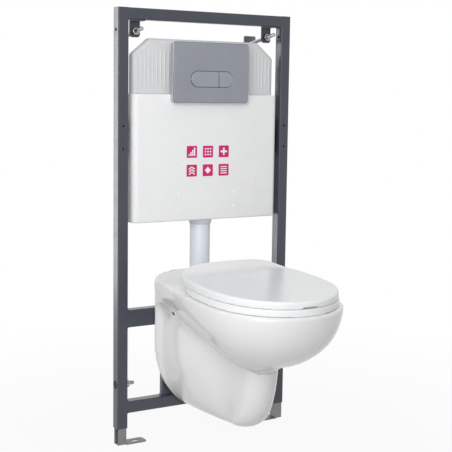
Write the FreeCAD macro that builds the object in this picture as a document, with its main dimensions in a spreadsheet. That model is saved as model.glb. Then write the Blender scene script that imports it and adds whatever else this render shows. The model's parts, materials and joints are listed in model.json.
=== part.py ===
import FreeCAD, Part
import math
import os
import Sketcher

# Wall hung toilet set: a tube frame with sliding legs and wall rods, a hidden cistern
# with its flush plate, and the ceramic pan with seat and lid.
# Built with X across, Y towards the wall, Z up from the floor, and then set so that the
# origin lies on the wall face of the left wall plate. All sizes in millimetres.

doc = FreeCAD.newDocument("wall_hung_toilet_frame")
sheet = doc.addObject("Spreadsheet::Sheet", "dims")

DIMENSIONS = {
    # frame tubes
    "frame_width": 500,
    "frame_height": 1078,
    "tube_size": 28,
    "tube_wall": 2,
    "tube_corner": 3,
    "pan_rail_low": 298,
    "pan_rail_height": 44,
    "lower_rail_low": 80,
    "lower_rail_height": 30,
    "inner_post_width": 40,
    "inner_post_depth": 16,
    "inner_post_middle": 98,
    "jacket_hole_bore": 5,
    "jacket_hole_drop": 283,
    "jacket_hole_pitch": 55,
    "side_hole_bore": 9,
    "side_hole_drop": 53,
    # legs and their lock bolts
    "leg_show": 42,
    "leg_length": 335,
    "leg_sheet": 2.5,
    "leg_clearance": 0.5,
    "leg_up": 33,
    "leg_down": 150,
    "foot_reach": 56,
    "foot_depth": 34,
    "foot_sheet": 3,
    "foot_slot_width": 11,
    "foot_slot_length": 22,
    "lock_high": 154,
    "lock_bore": 10,
    "lock_clearance": 0.4,
    "lock_head": 16,
    "lock_head_thick": 5,
    "lock_nut": 17,
    "lock_nut_thick": 8,
    "lock_reach": 22,
    "lock_access_bore": 20,
    # wall fixings
    "wall_depth": 108,
    "rod_side_step": 58,
    "rod_bore": 10,
    "rod_front": 41,
    "rod_drop": 56,
    "rod_tilt": 10,
    "rod_hole": 13,
    "rod_nut": 17,
    "rod_nut_thick": 8,
    "rod_nut_gap": 1.8,
    "bracket_width": 28,
    "bracket_height": 41,
    "bracket_sheet": 3,
    "bracket_corner": 8,
    "wall_plate_width": 36,
    "wall_plate_up": 21,
    "wall_plate_down": 32,
    "wall_plate_sheet": 4,
    "wall_plate_corner": 4,
    "wall_plate_rod_hole": 11.4,
    "wall_bolt_hole": 10,
    "wall_bolt_step": 19,
    # cistern, jacket and flush plate, hung from the top of the frame
    "tank_side_gap": 17,
    "tank_front": 12,
    "tank_top_drop": 70,
    "tank_shoulder_drop": 204.5,
    "tank_chamfer_across": 48,
    "tank_chamfer_up": 39.5,
    "tank_corner": 10,
    "tank_cover_thick": 22,
    "tank_side_step": 42,
    "tank_top_step": 16,
    "cistern_back": 100,
    "jacket_side_gap": 12,
    "jacket_front": 4,
    "jacket_low_drop": 521,
    "jacket_wall": 20,
    "jacket_corner": 14,
    "fit_gap": 0.3,
    "cistern_bracket_sheet": 3,
    "cistern_bracket_height": 90,
    "cistern_bracket_side_gap": 8,
    "plate_width": 220,
    "plate_height": 150,
    "plate_drop": 151,
    "plate_corner": 8,
    "plate_edge": 1.4,
    "plate_rim_stand": 13,
    "plate_face_stand": 16,
    "plate_seat": 5,
    "button_length": 122,
    "button_height": 40,
    "button_drop": 16,
    "button_split": 20,
    "button_gap": 0.95,
    "button_thick": 8,
    "button_proud": 1,
    # flush pipe and waste
    "pipe_bore": 52,
    "pipe_wall": 3,
    "pipe_back": 32,
    "pipe_bend": 30,
    "pipe_entry": 35,
    "pipe_nut": 62,
    "pipe_nut_foot": 55,
    "pipe_nut_height": 13,
    "inlet_high": 374,
    "inlet_gap": 0.6,
    "outlet_high": 225,
    "waste_bore": 90,
    "waste_wall": 3,
    "waste_reach": 100,
    "waste_entry": 40,
    "waste_seal": 104,
    "waste_seal_thick": 12,
    "waste_seal_gap": 1,
    # pan
    "pan_half": 174.5,
    "pan_front": 462,
    "pan_widest": 270,
    "rim_front_high": 388,
    "rim_slope": 3.35,
    "pan_low": 69,
    "flange_half": 150,
    "flange_thick": 14,
    "flange_inset": 1.5,
    "flange_straight_low": 259,
    "flange_foot_lift": 2,
    "flange_sink": 1,
    "deck_rise": 24,
    "deck_rise_depth": 45,
    "deck_sink": 6,
    "trap_straight": 62,
    "trap_front": 300,
    "trap_foot_front": 190,
    "trap_nose": 48,
    "trap_high": 362,
    "bowl_low": 245,
    "bowl_keel": 315,
    "bowl_opening_half": 132,
    "bowl_opening_front": 430,
    "bowl_opening_back": 155,
    "bowl_floor": 290,
    "bowl_floor_half": 75,
    "bowl_floor_front": 385,
    "bowl_floor_back": 225,
    "side_bore": 9,
    "side_bore_high": 346,
    "side_bore_back": 101,
    "side_bore_inner": 112,
    "stud_middle": 90,
    "stud_high": 320,
    "stud_bore": 12,
    "stud_clearance": 0.6,
    "stud_reach": 62,
    "stud_nut": 19,
    "stud_nut_thick": 10,
    # seat, lid and hinges, with heights above the sloping rim
    "seat_half": 164,
    "seat_front": 456,
    "seat_back": 112,
    "seat_thick": 16.5,
    "seat_hole_half": 106,
    "seat_hole_front": 396,
    "seat_hole_back": 172,
    "lid_thick": 17.5,
    "lid_rise": 3.5,
    "lid_back": 90,
    "lid_edge": 5,
    "lid_ridge": 16,
    "lid_ridge_foot": 140,
    "lid_ridge_back": 97,
    "lid_notch_half": 21,
    "lid_notch_depth": 10,
    "lid_notch_high": 4,
    "hinge_back": 100,
    "hinge_high": 30,
    "hinge_pin": 8,
    "hinge_inner": 50,
    "hinge_lug_inner": 64,
    "hinge_lug_width": 14,
    "hinge_lug_depth": 14,
    "hinge_side_gap": 2,
    "hinge_ear_width": 12,
    "hinge_ear_reach": 40,
}

for row, (alias, value) in enumerate(DIMENSIONS.items(), start=1):
    sheet.set("A%d" % row, alias)
    sheet.set("B%d" % row, str(value))
    sheet.setAlias("B%d" % row, alias)
doc.recompute()


class Size:
    """A length that knows its number and the sheet expression that gives it."""

    def __init__(self, number, text):
        self.number = number
        self.text = text

    def __add__(self, other):
        other = as_size(other)
        return Size(self.number + other.number, "(%s + %s)" % (self.text, other.text))

    def __sub__(self, other):
        other = as_size(other)
        return Size(self.number - other.number, "(%s - %s)" % (self.text, other.text))

    def __mul__(self, factor):
        return Size(self.number * factor, "(%s * %s)" % (self.text, factor))

    def __truediv__(self, factor):
        return Size(self.number / factor, "(%s / %s)" % (self.text, factor))

    def __neg__(self):
        return Size(-self.number, "(-1 * %s)" % self.text)


def as_size(value):
    """Take a plain number or a Size as a Size."""
    if isinstance(value, Size):
        return value
    return Size(value, "%s" % value)


def dim(alias):
    """One named cell of the sheet."""
    return Size(float(sheet.get(alias)), "dims.%s" % alias)


def num(alias):
    """The number in one named cell of the sheet."""
    return float(sheet.get(alias))


ZERO = as_size(0)
sub_parts = []


def keep(piece, label):
    """Name a finished piece and list it as a sub-part."""
    piece.Label = label
    sub_parts.append(piece)
    return piece


def new_body(label):
    """Start a body that becomes the sub-part of that name."""
    return keep(doc.addObject("PartDesign::Body", "body_" + label), label)


def sketch_on(body, role, offset):
    """Put an empty sketch on one of the body's own planes, moved along its normal."""
    support = next(f for f in body.Origin.OriginFeatures if f.Role == role)
    sketch = body.newObject("Sketcher::SketchObject", body.Name + "_sketch")
    sketch.AttachmentSupport = [(support, "")]
    sketch.MapMode = "FlatFace"
    sketch.setExpression("AttachmentOffset.Base.z", as_size(offset).text)
    return sketch


def bind(sketch, constraint, size):
    """Add one size constraint and tie it to the sheet."""
    index = sketch.addConstraint(constraint)
    sketch.setExpression("Constraints[%d]" % index, size.text)


def hold(sketch, curve, point, across, up):
    """Hold one point of a curve at a place given by the sheet."""
    across = as_size(across)
    up = as_size(up)
    bind(sketch, Sketcher.Constraint("DistanceX", -1, 1, curve, point, across.number), across)
    bind(sketch, Sketcher.Constraint("DistanceY", -1, 1, curve, point, up.number), up)


def vector(across, up):
    """A sketch point from two sizes."""
    return FreeCAD.Vector(as_size(across).number, as_size(up).number, 0)


def polygon(sketch, corners):
    """Draw a closed outline of straight lines through the corners."""
    lines = []
    for start, end in zip(corners, corners[1:] + corners[:1]):
        lines.append(sketch.addGeometry(Part.LineSegment(vector(*start), vector(*end)), False))
    for line, following in zip(lines, lines[1:] + lines[:1]):
        sketch.addConstraint(Sketcher.Constraint("Coincident", line, 2, following, 1))
    for line, corner in zip(lines, corners):
        hold(sketch, line, 1, *corner)


def rectangle(sketch, left, low, right, high):
    """Draw a rectangle between two corners."""
    polygon(sketch, [(left, low), (right, low), (right, high), (left, high)])


def circle(sketch, across, up, diameter):
    """Draw a circle of the given diameter."""
    middle = vector(across, up)
    curve = sketch.addGeometry(Part.Circle(middle, FreeCAD.Vector(0, 0, 1), diameter.number / 2), False)
    hold(sketch, curve, 3, across, up)
    bind(sketch, Sketcher.Constraint("Diameter", curve, diameter.number), diameter)


def slot(sketch, first, second, width):
    """Draw a round-ended slot between two centres in line with the sketch's axes."""
    start = vector(*first)
    end = vector(*second)
    radius = width.number / 2
    turn = math.atan2(end.y - start.y, end.x - start.x)
    side = FreeCAD.Vector(-math.sin(turn), math.cos(turn), 0) * radius
    upright = FreeCAD.Vector(0, 0, 1)
    near = Part.ArcOfCircle(Part.Circle(start, upright, radius), turn + math.pi / 2, turn + 3 * math.pi / 2)
    far = Part.ArcOfCircle(Part.Circle(end, upright, radius), turn - math.pi / 2, turn + math.pi / 2)
    near_arc = sketch.addGeometry(near, False)
    far_arc = sketch.addGeometry(far, False)
    right_line = sketch.addGeometry(Part.LineSegment(start - side, end - side), False)
    left_line = sketch.addGeometry(Part.LineSegment(end + side, start + side), False)
    joins = [(near_arc, 2, right_line, 1), (right_line, 2, far_arc, 1)]
    joins += [(far_arc, 2, left_line, 1), (left_line, 2, near_arc, 1)]
    for join in joins:
        sketch.addConstraint(Sketcher.Constraint("Tangent", *join))
    hold(sketch, near_arc, 3, *first)
    hold(sketch, far_arc, 3, *second)
    bind(sketch, Sketcher.Constraint("Diameter", near_arc, width.number), width)


def pad(body, role, offset, length, draw, *outline):
    """Raise a drawn outline along its plane's normal."""
    sketch = sketch_on(body, role, offset)
    draw(sketch, *outline)
    feature = body.newObject("PartDesign::Pad", body.Name + "_pad")
    feature.Profile = sketch
    feature.setExpression("Length", as_size(length).text)
    doc.recompute()
    return feature


def pocket(body, role, offset, length, draw, *outline):
    """Cut a drawn outline against its plane's normal, and make sure that it cuts."""
    before = body.Shape.Volume
    sketch = sketch_on(body, role, offset)
    draw(sketch, *outline)
    feature = body.newObject("PartDesign::Pocket", body.Name + "_pocket")
    feature.Profile = sketch
    feature.setExpression("Length", as_size(length).text)
    doc.recompute()
    if body.Shape.Volume > before - 1e-3:
        raise ValueError("a pocket of %s cuts nothing" % body.Label)
    return feature


def round_edges(body, radius, wanted):
    """Round the edges of the body's tip that the test picks."""
    tip = body.Tip
    names = []
    for index, edge in enumerate(tip.Shape.Edges, start=1):
        if wanted(edge):
            names.append("Edge%d" % index)
    feature = body.newObject("PartDesign::Fillet", body.Name + "_fillet")
    feature.Base = (tip, names)
    feature.setExpression("Radius", as_size(radius).text)
    doc.recompute()
    return feature


def runs_along(edge, axis):
    """Whether a straight edge lies along an axis."""
    if not isinstance(edge.Curve, (Part.Line, Part.LineSegment)):
        return False
    ends = edge.Vertexes[1].Point - edge.Vertexes[0].Point
    return abs(ends.normalize().dot(axis)) > 0.999


ALONG = {
    "YZ_Plane": FreeCAD.Vector(1, 0, 0),
    "XZ_Plane": FreeCAD.Vector(0, -1, 0),
    "XY_Plane": FreeCAD.Vector(0, 0, 1),
}


def tube(label, role, start, length, outline):
    """A rounded rectangular tube, open at its ends."""
    body = new_body(label)
    left, low, right, high = outline
    wall = dim("tube_wall")
    pad(body, role, start, length, rectangle, left, low, right, high)
    round_edges(body, dim("tube_corner"), lambda edge: runs_along(edge, ALONG[role]))
    inner = (left + wall, low + wall, right - wall, high - wall)
    pocket(body, role, as_size(start) + length, length, rectangle, *inner)
    return body


half_width = dim("frame_width") / 2
tube_size = dim("tube_size")
tube_wall = dim("tube_wall")
tube_middle = tube_size / 2
post_inner = half_width - tube_size
frame_top = dim("frame_height")
rod_middle = half_width - dim("rod_side_step")
rod_high = frame_top - dim("rod_drop")
tank_half = post_inner - dim("tank_side_gap")
tank_shoulder = frame_top - dim("tank_shoulder_drop")
jacket_half = post_inner - dim("jacket_side_gap")
jacket_low = frame_top - dim("jacket_low_drop")
jacket_hole_high = frame_top - dim("jacket_hole_drop")
bracket_middle = tube_size + dim("bracket_sheet") / 2
SIDES = (("left", -1), ("right", 1))

# How roundly the pan's hull, its back, its chin and the trap under it draw in
BOWL_ROUND = 2
BOWL_TUCK = 0.68
TUCK_BEND = 1.6
BOWL_SWEEP = 2.1
BOWL_NOSE = 2.15
TRAP_CHIN = 2.6
TRAP_LEAN = 0.12
TRAP_NOSE = 0.85
DECK_ARCH = 3
OVAL_BACK = 2.6
OVAL_FRONT = 2.2
SEAT_BACK = 4
SEAT_FRONT = 2
LID_BACK = 3.9
BOWL_SPARE = 2
HOLE_SPARE = 4
NEAR = 0.01


def spread(side, near, far):
    """Two places across, mirrored to a side, in rising order."""
    if side < 0:
        return -far, -near
    return near, far


def frame_posts():
    """Two upright tubes with holes for the jacket screws, the lock bolts and the covers."""
    for name, side in SIDES:
        left, right = spread(side, post_inner, half_width)
        post = tube(
            name + "_post", "XY_Plane", dim("leg_show"), frame_top - dim("leg_show"),
            (left, ZERO, right, tube_size),
        )
        middle = (half_width - tube_middle) * side
        for step in (0, 1):
            high = jacket_hole_high - dim("jacket_hole_pitch") * step
            pocket(post, "XZ_Plane", ZERO, tube_size, circle, middle, high, dim("jacket_hole_bore"))
        pocket(
            post, "YZ_Plane", right, tube_size, circle,
            tube_middle, frame_top - dim("side_hole_drop"), dim("side_hole_bore"),
        )
        bolt_hole = dim("lock_bore") + dim("lock_clearance") * 2
        pocket(post, "YZ_Plane", right, tube_size, circle, tube_middle, dim("lock_high"), bolt_hole)
        outer_face = half_width if side > 0 else -half_width + tube_wall
        pocket(
            post, "YZ_Plane", outer_face, tube_wall, circle,
            tube_middle, dim("lock_high"), dim("lock_access_bore"),
        )


def cross_tube(label, low, height):
    """A tube between the posts at a height above the floor."""
    outline = (ZERO, low, tube_size, low + height)
    return tube(label, "YZ_Plane", -post_inner, post_inner * 2, outline)


def frame_rails():
    """Cross tubes between the posts, with clear holes for the pan's studs in the pan rail."""
    cross_tube("top_rail", frame_top - tube_size, tube_size)
    cross_tube("lower_rail", dim("lower_rail_low"), dim("lower_rail_height"))
    rail = cross_tube("pan_rail", dim("pan_rail_low"), dim("pan_rail_height"))
    stud_hole = dim("stud_bore") + dim("stud_clearance") * 2
    for name, side in SIDES:
        middle = dim("stud_middle") * side
        pocket(rail, "XZ_Plane", ZERO, tube_size, circle, middle, dim("stud_high"), stud_hole)


def inner_posts():
    """Short flat tubes that brace the lower rail against the pan rail."""
    low = dim("lower_rail_low") + dim("lower_rail_height")
    for name, side in SIDES:
        near = dim("inner_post_middle") - dim("inner_post_width") / 2
        left, right = spread(side, near, near + dim("inner_post_width"))
        tube(
            name + "_inner_post", "XY_Plane", low, dim("pan_rail_low") - low,
            (left, tube_size - dim("inner_post_depth"), right, tube_size),
        )


leg_outer = half_width - tube_wall - dim("leg_clearance")
leg_inner = post_inner + tube_wall + dim("leg_clearance")
leg_front = tube_wall + dim("leg_clearance")
leg_back = tube_size - tube_wall - dim("leg_clearance")


def legs():
    """Channels that slide in the posts, each with a foot plate bent inwards at its end."""
    sheet_thick = dim("leg_sheet")
    for name, side in SIDES:
        leg = new_body(name + "_leg")
        left, right = spread(side, leg_inner, leg_outer)
        pad(leg, "XY_Plane", ZERO, dim("leg_length"), rectangle, left, leg_front, right, leg_back)
        hollow_left, hollow_right = spread(side, leg_inner + sheet_thick, leg_outer)
        pocket(
            leg, "XY_Plane", dim("leg_length"), dim("leg_length") - dim("foot_sheet"), rectangle,
            hollow_left, leg_front + sheet_thick, hollow_right, leg_back - sheet_thick,
        )
        foot_left, foot_right = spread(side, leg_inner - dim("foot_reach"), leg_inner + sheet_thick)
        foot_front = tube_middle - dim("foot_depth") / 2
        pad(
            leg, "XY_Plane", ZERO, dim("foot_sheet"), rectangle,
            foot_left, foot_front, foot_right, foot_front + dim("foot_depth"),
        )
        round_edges(
            leg, dim("bracket_corner"),
            lambda edge: edge.BoundBox.ZLength <= num("foot_sheet") + 0.01
            and runs_along(edge, ALONG["XY_Plane"])
            and abs(edge.BoundBox.Center.x) < leg_inner.number - num("foot_reach") / 2,
        )
        slot_middle = (leg_inner - dim("foot_reach") / 2) * side
        half_slot = (dim("foot_slot_length") - dim("foot_slot_width")) / 2
        pocket(
            leg, "XY_Plane", dim("foot_sheet"), dim("foot_sheet"), slot,
            (slot_middle - half_slot, tube_middle), (slot_middle + half_slot, tube_middle),
            dim("foot_slot_width"),
        )
        web_right = -leg_inner if side < 0 else leg_inner + sheet_thick
        slot_width = dim("lock_bore") + dim("lock_clearance") * 2
        pocket(
            leg, "YZ_Plane", web_right, sheet_thick, slot,
            (tube_middle, dim("lock_high") - dim("leg_up")),
            (tube_middle, dim("lock_high") + dim("leg_down")), slot_width,
        )


def hexagon(sketch, across, up, flats):
    """Draw a hexagon of the given width across its flats."""
    reach = flats / math.sqrt(3)
    corners = []
    for turn in range(6):
        angle = math.radians(60 * turn)
        corners.append((across + reach * math.cos(angle), up + reach * math.sin(angle)))
    polygon(sketch, corners)


def lock_bolts():
    """Bolts that clamp each leg's channel in its post, with a nut on the inside."""
    for name, side in SIDES:
        bolt = new_body(name + "_lock_bolt")
        web_face = leg_inner + dim("leg_sheet") + dim("fit_gap")
        tip = post_inner - dim("lock_reach")
        left, right = spread(side, tip, web_face)
        pad(bolt, "YZ_Plane", left, right - left, circle, tube_middle, dim("lock_high"), dim("lock_bore"))
        left, right = spread(side, web_face, web_face + dim("lock_head_thick"))
        pad(bolt, "YZ_Plane", left, right - left, circle, tube_middle, dim("lock_high"), dim("lock_head"))
        left, right = spread(side, post_inner - dim("lock_nut_thick"), post_inner)
        pad(bolt, "YZ_Plane", left, right - left, hexagon, tube_middle, dim("lock_high"), dim("lock_nut"))


def wall_brackets():
    """Angles under the top rail that carry the wall rods."""
    rail_low = frame_top - tube_size
    half = dim("bracket_width") / 2
    thick = dim("bracket_sheet")
    low = rail_low - dim("bracket_height")
    for name, side in SIDES:
        middle = rod_middle * side
        bracket = new_body(name + "_wall_bracket")
        back = tube_size + thick
        pad(bracket, "XZ_Plane", -back, thick, rectangle, middle - half, low, middle + half, rail_low)
        round_edges(
            bracket, dim("bracket_corner"),
            lambda edge: runs_along(edge, ALONG["XZ_Plane"]) and edge.BoundBox.ZMax < low.number + NEAR,
        )
        pad(
            bracket, "XZ_Plane", -tube_size, tube_size, rectangle,
            middle - half, rail_low - thick, middle + half, rail_low,
        )
        pocket(bracket, "XZ_Plane", -tube_size, thick, circle, middle, rod_high, dim("rod_hole"))


def on_rod(piece, side):
    """Tilt a piece drawn along the rod so that it hangs back through its bracket."""
    hang = FreeCAD.Rotation(FreeCAD.Vector(1, 0, 0), -num("rod_tilt"))
    start = FreeCAD.Vector(rod_middle.number * side, bracket_middle.number, rod_high.number)
    piece.Placement = FreeCAD.Placement(start, hang)


rod_reach = dim("wall_depth") - dim("wall_plate_sheet") / 2 - bracket_middle
rod_low = rod_high - rod_reach * math.tan(math.radians(num("rod_tilt")))


def wall_rods():
    """Screwed rods from the brackets back to the wall plates, with a nut in front of the bracket."""
    behind = rod_reach / math.cos(math.radians(num("rod_tilt")))
    for name, side in SIDES:
        rod = new_body(name + "_wall_rod")
        pad(rod, "XZ_Plane", -behind, behind + dim("rod_front"), circle, ZERO, ZERO, dim("rod_bore"))
        on_rod(rod, side)
        nut = new_body(name + "_rod_nut")
        face = dim("bracket_sheet") / 2 + dim("rod_nut_gap")
        thick = dim("rod_nut_thick")
        pad(nut, "XZ_Plane", face, thick, hexagon, ZERO, ZERO, dim("rod_nut"))
        bore = dim("rod_bore") + dim("fit_gap") * 2
        pocket(nut, "XZ_Plane", face + thick, thick, circle, ZERO, ZERO, bore)
        on_rod(nut, side)


def wall_plates():
    """Flat plates that bolt to the wall, each with the rod's hole and a bolt hole below it."""
    thick = dim("wall_plate_sheet")
    half = dim("wall_plate_width") / 2
    front = thick - dim("wall_depth")
    for name, side in SIDES:
        plate = new_body(name + "_wall_plate")
        middle = rod_middle * side
        pad(
            plate, "XZ_Plane", front - thick, thick, rectangle,
            middle - half, rod_low - dim("wall_plate_down"), middle + half, rod_low + dim("wall_plate_up"),
        )
        round_edges(plate, dim("wall_plate_corner"), lambda edge: runs_along(edge, ALONG["XZ_Plane"]))
        pocket(plate, "XZ_Plane", front, thick, circle, middle, rod_low, dim("wall_plate_rod_hole"))
        bolt_high = rod_low - dim("wall_bolt_step")
        pocket(plate, "XZ_Plane", front, thick, circle, middle, bolt_high, dim("wall_bolt_hole"))


def cistern():
    """The tank's wide top on its narrow body, and the foam jacket round that body."""
    half = tank_half
    back = dim("cistern_back")
    shoulder = tank_shoulder
    top = frame_top - dim("tank_top_drop")
    inner = jacket_half - dim("jacket_wall")
    low = jacket_low + dim("jacket_wall")
    body_front = dim("jacket_wall") - dim("jacket_front")
    tank = new_body("cistern_tank")
    step = half - dim("tank_chamfer_across")
    drop = top - dim("tank_chamfer_up")
    cover_back = dim("tank_front") + dim("tank_cover_thick")
    pad(
        tank, "XZ_Plane", -cover_back, dim("tank_cover_thick"), polygon,
        [(-half, shoulder), (half, shoulder), (half, drop), (step, top), (-step, top), (-half, drop)],
    )
    round_edges(
        tank, dim("tank_corner"),
        lambda edge: edge.BoundBox.ZMax > shoulder.number + NEAR
        and edge.BoundBox.YMin < num("tank_front") + NEAR,
    )
    inward = dim("tank_side_step")
    top = top - dim("tank_top_step")
    half = half - inward
    step = step - inward
    drop = top - dim("tank_chamfer_up")
    pad(
        tank, "XZ_Plane", -back, back - cover_back, polygon,
        [(-half, shoulder), (half, shoulder), (half, drop), (step, top), (-step, top), (-half, drop)],
    )
    gap = dim("fit_gap")
    pad(
        tank, "XY_Plane", low + gap, shoulder - low - gap, rectangle,
        -(inner - gap), body_front + gap, inner - gap, back,
    )
    jacket = new_body("insulation_jacket")
    pad(
        jacket, "XY_Plane", jacket_low, shoulder - gap - jacket_low, rectangle,
        -jacket_half, -dim("jacket_front"), jacket_half, back,
    )
    round_edges(
        jacket, dim("jacket_corner"),
        lambda edge: runs_along(edge, ALONG["XY_Plane"]) and edge.BoundBox.YMax < 0,
    )
    pocket(
        jacket, "XY_Plane", shoulder - gap, shoulder - gap - low, rectangle,
        -inner, body_front, inner, back,
    )


def cistern_brackets():
    """Plates screwed to the back of the posts that hold the cistern by its sides."""
    thick = dim("cistern_bracket_sheet")
    height = dim("cistern_bracket_height")
    high = jacket_hole_high + (height - dim("jacket_hole_pitch")) / 2
    for name, side in SIDES:
        plate = new_body(name + "_cistern_bracket")
        outer = half_width - dim("cistern_bracket_side_gap")
        left, right = spread(side, jacket_half + dim("fit_gap"), outer)
        pad(
            plate, "XZ_Plane", -(tube_size + thick), thick, rectangle,
            left, high - height, right, high,
        )


def flush_plate():
    """The plate's rim, the face set in it and the two buttons in the face's opening."""
    half = dim("plate_width") / 2
    half_high = dim("plate_height") / 2
    middle = frame_top - dim("plate_drop")
    edge = dim("plate_edge")
    base = dim("jacket_front")
    rim_front = base + dim("plate_rim_stand")
    face_front = base + dim("plate_face_stand")
    corner = dim("plate_corner")
    seat = base + dim("plate_seat")
    along = ALONG["XZ_Plane"]
    rim = new_body("flush_plate_rim")
    pad(
        rim, "XZ_Plane", base, dim("plate_rim_stand"), rectangle,
        -half, middle - half_high, half, middle + half_high,
    )
    pocket(
        rim, "XZ_Plane", rim_front, rim_front - seat, rectangle,
        edge - half, middle - half_high + edge, half - edge, middle + half_high - edge,
    )
    wall_middle = half.number - edge.number / 2
    round_edges(
        rim, corner - edge,
        lambda line: runs_along(line, along) and abs(line.BoundBox.Center.x) < wall_middle,
    )
    round_edges(
        rim, corner,
        lambda line: runs_along(line, along) and abs(line.BoundBox.Center.x) > wall_middle,
    )
    gap = dim("fit_gap")
    face = new_body("flush_plate_face")
    inset = edge + gap
    pad(
        face, "XZ_Plane", seat, face_front - seat, rectangle,
        inset - half, middle - half_high + inset, half - inset, middle + half_high - inset,
    )
    round_edges(face, corner - inset, lambda line: runs_along(line, along))
    radius = dim("button_height") / 2
    reach = dim("button_length") / 2 - radius
    high = middle - dim("button_drop")
    pocket(
        face, "XZ_Plane", face_front, face_front - seat, slot,
        (-reach, high), (reach, high), dim("button_height"),
    )
    clear = dim("button_gap")
    button_front = face_front + dim("button_proud")
    split = dim("button_split")
    halves = (
        ("full_flush_button", split - clear, reach + radius),
        ("half_flush_button", -reach - radius, split + clear),
    )
    for label, cut_left, cut_right in halves:
        button = new_body(label)
        pad(
            button, "XZ_Plane", button_front - dim("button_thick"), dim("button_thick"), slot,
            (-reach, high), (reach, high), dim("button_height") - clear * 2,
        )
        pocket(
            button, "XZ_Plane", button_front, dim("button_thick"), rectangle,
            cut_left, high - radius, cut_right, high + radius,
        )


def bent_rod(radius, start, corner, end, bend):
    """A round bar along two square legs with a quarter bend between them."""
    first = (corner - start).normalize()
    second = (end - corner).normalize()
    bend_start = corner - first * bend
    bend_end = corner + second * bend
    outward = -second
    turn = first.cross(second)
    middle = bend_start + second * bend
    pose = FreeCAD.Matrix(
        outward.x, first.x, turn.x, middle.x,
        outward.y, first.y, turn.y, middle.y,
        outward.z, first.z, turn.z, middle.z,
    )
    origin = FreeCAD.Vector(0, 0, 0)
    quarter = Part.makeTorus(bend, radius, origin, FreeCAD.Vector(0, 0, 1), 0, 360, 90)
    quarter.Placement = FreeCAD.Placement(pose)
    straights = [
        Part.makeCylinder(radius, (bend_start - start).Length, start, first),
        Part.makeCylinder(radius, (end - bend_end).Length, bend_end, second),
    ]
    return quarter.fuse(straights).removeSplitter()


def flush_pipe():
    """The flush pipe from the cistern down and forwards into the pan, and the nut at its top."""
    back = dim("pipe_back")
    height = dim("pipe_nut_height")
    nut = new_body("flush_pipe_nut")
    cup = nut.newObject("PartDesign::AdditiveCone", "nut_cup")
    cup.AttachmentSupport = [(next(f for f in nut.Origin.OriginFeatures if f.Role == "XY_Plane"), "")]
    cup.MapMode = "FlatFace"
    cup.setExpression("AttachmentOffset.Base.y", back.text)
    cup.setExpression("AttachmentOffset.Base.z", (jacket_low - height).text)
    cup.setExpression("Radius1", (dim("pipe_nut_foot") / 2).text)
    cup.setExpression("Radius2", (dim("pipe_nut") / 2).text)
    cup.setExpression("Height", height.text)
    doc.recompute()
    bore = dim("pipe_bore") + dim("fit_gap") * 2
    pocket(nut, "XY_Plane", jacket_low, height, circle, ZERO, back, bore)
    inlet = num("inlet_high")
    route = [
        FreeCAD.Vector(0, back.number, jacket_low.number),
        FreeCAD.Vector(0, back.number, inlet),
        FreeCAD.Vector(0, -num("pipe_entry"), inlet),
    ]
    outside = bent_rod(num("pipe_bore") / 2, *route, num("pipe_bend"))
    inside = bent_rod(num("pipe_bore") / 2 - num("pipe_wall"), *route, num("pipe_bend"))
    pipe = doc.addObject("Part::Feature", "pipe_to_pan")
    pipe.Shape = outside.cut(inside)
    keep(pipe, "flush_pipe")


def waste_pipe():
    """The straight waste pipe behind the pan, with a seal ring against the pan's back."""
    pipe = new_body("waste_pipe")
    high = dim("outlet_high")
    length = dim("waste_reach") + dim("waste_entry")
    pad(pipe, "XZ_Plane", -dim("waste_reach"), length, circle, ZERO, high, dim("waste_bore"))
    seal_back = dim("waste_seal_gap") + dim("waste_seal_thick")
    pad(pipe, "XZ_Plane", -seal_back, dim("waste_seal_thick"), circle, ZERO, high, dim("waste_seal"))
    bore = dim("waste_bore") - dim("waste_wall") * 2
    pocket(pipe, "XZ_Plane", dim("waste_entry"), length, circle, ZERO, high, bore)


def rim_high_at(along):
    """Height of the pan's sloping rim at a place along its depth."""
    return num("rim_front_high") + (along + num("pan_front")) * math.tan(math.radians(num("rim_slope")))


def bent(share, power):
    """A rounded power curve with its sign kept."""
    return math.copysign(abs(share) ** (2 / power), share)


def oval(half, back, front, level, back_power=OVAL_BACK, front_power=OVAL_FRONT):
    """A smooth closed outline; the level is a height or a function of the place along it."""
    steps = 24
    middle = (back + front) / 2
    points = []
    for step in range(steps):
        turn = 2 * math.pi * (step + 0.5) / steps
        power = back_power if math.sin(turn) > 0 else front_power
        across = half * bent(math.cos(turn), power)
        along = middle + (back - middle) * bent(math.sin(turn), power)
        points.append(FreeCAD.Vector(across, along, level(along) if callable(level) else level))
    curve = Part.BSplineCurve()
    curve.interpolate(points, PeriodicFlag=True)
    return Part.Wire([curve.toShape()])


def closed_spline(points):
    """A smooth curve through the points, closed by a straight line."""
    curve = Part.BSplineCurve()
    curve.interpolate(points)
    return Part.Wire([curve.toShape(), Part.makeLine(points[-1], points[0])])


def mirrored(right, front, level):
    """A closed outline from its right side and its foremost place."""
    left = [(-across, along) for across, along in reversed(right)]
    points = []
    for across, along in right + [(0, front)] + left:
        points.append(FreeCAD.Vector(across, along, level(along) if callable(level) else level))
    return closed_spline(points)


def nose(half, back_half, back, widest, front, level):
    """An outline with a straight back edge, sides that swell to the widest place and a round nose."""
    side_steps = 4
    nose_steps = 7
    right = []
    for step in range(side_steps):
        share = 1 - step / side_steps
        right.append((half - (half - back_half) * share ** 2, widest + (back - widest) * share))
    for step in range(nose_steps):
        turn = math.pi / 2 * step / nose_steps
        along = widest + (front - widest) * bent(math.sin(turn), BOWL_NOSE)
        right.append((half * bent(math.cos(turn), BOWL_NOSE), along))
    return mirrored(right, front, level)


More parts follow.
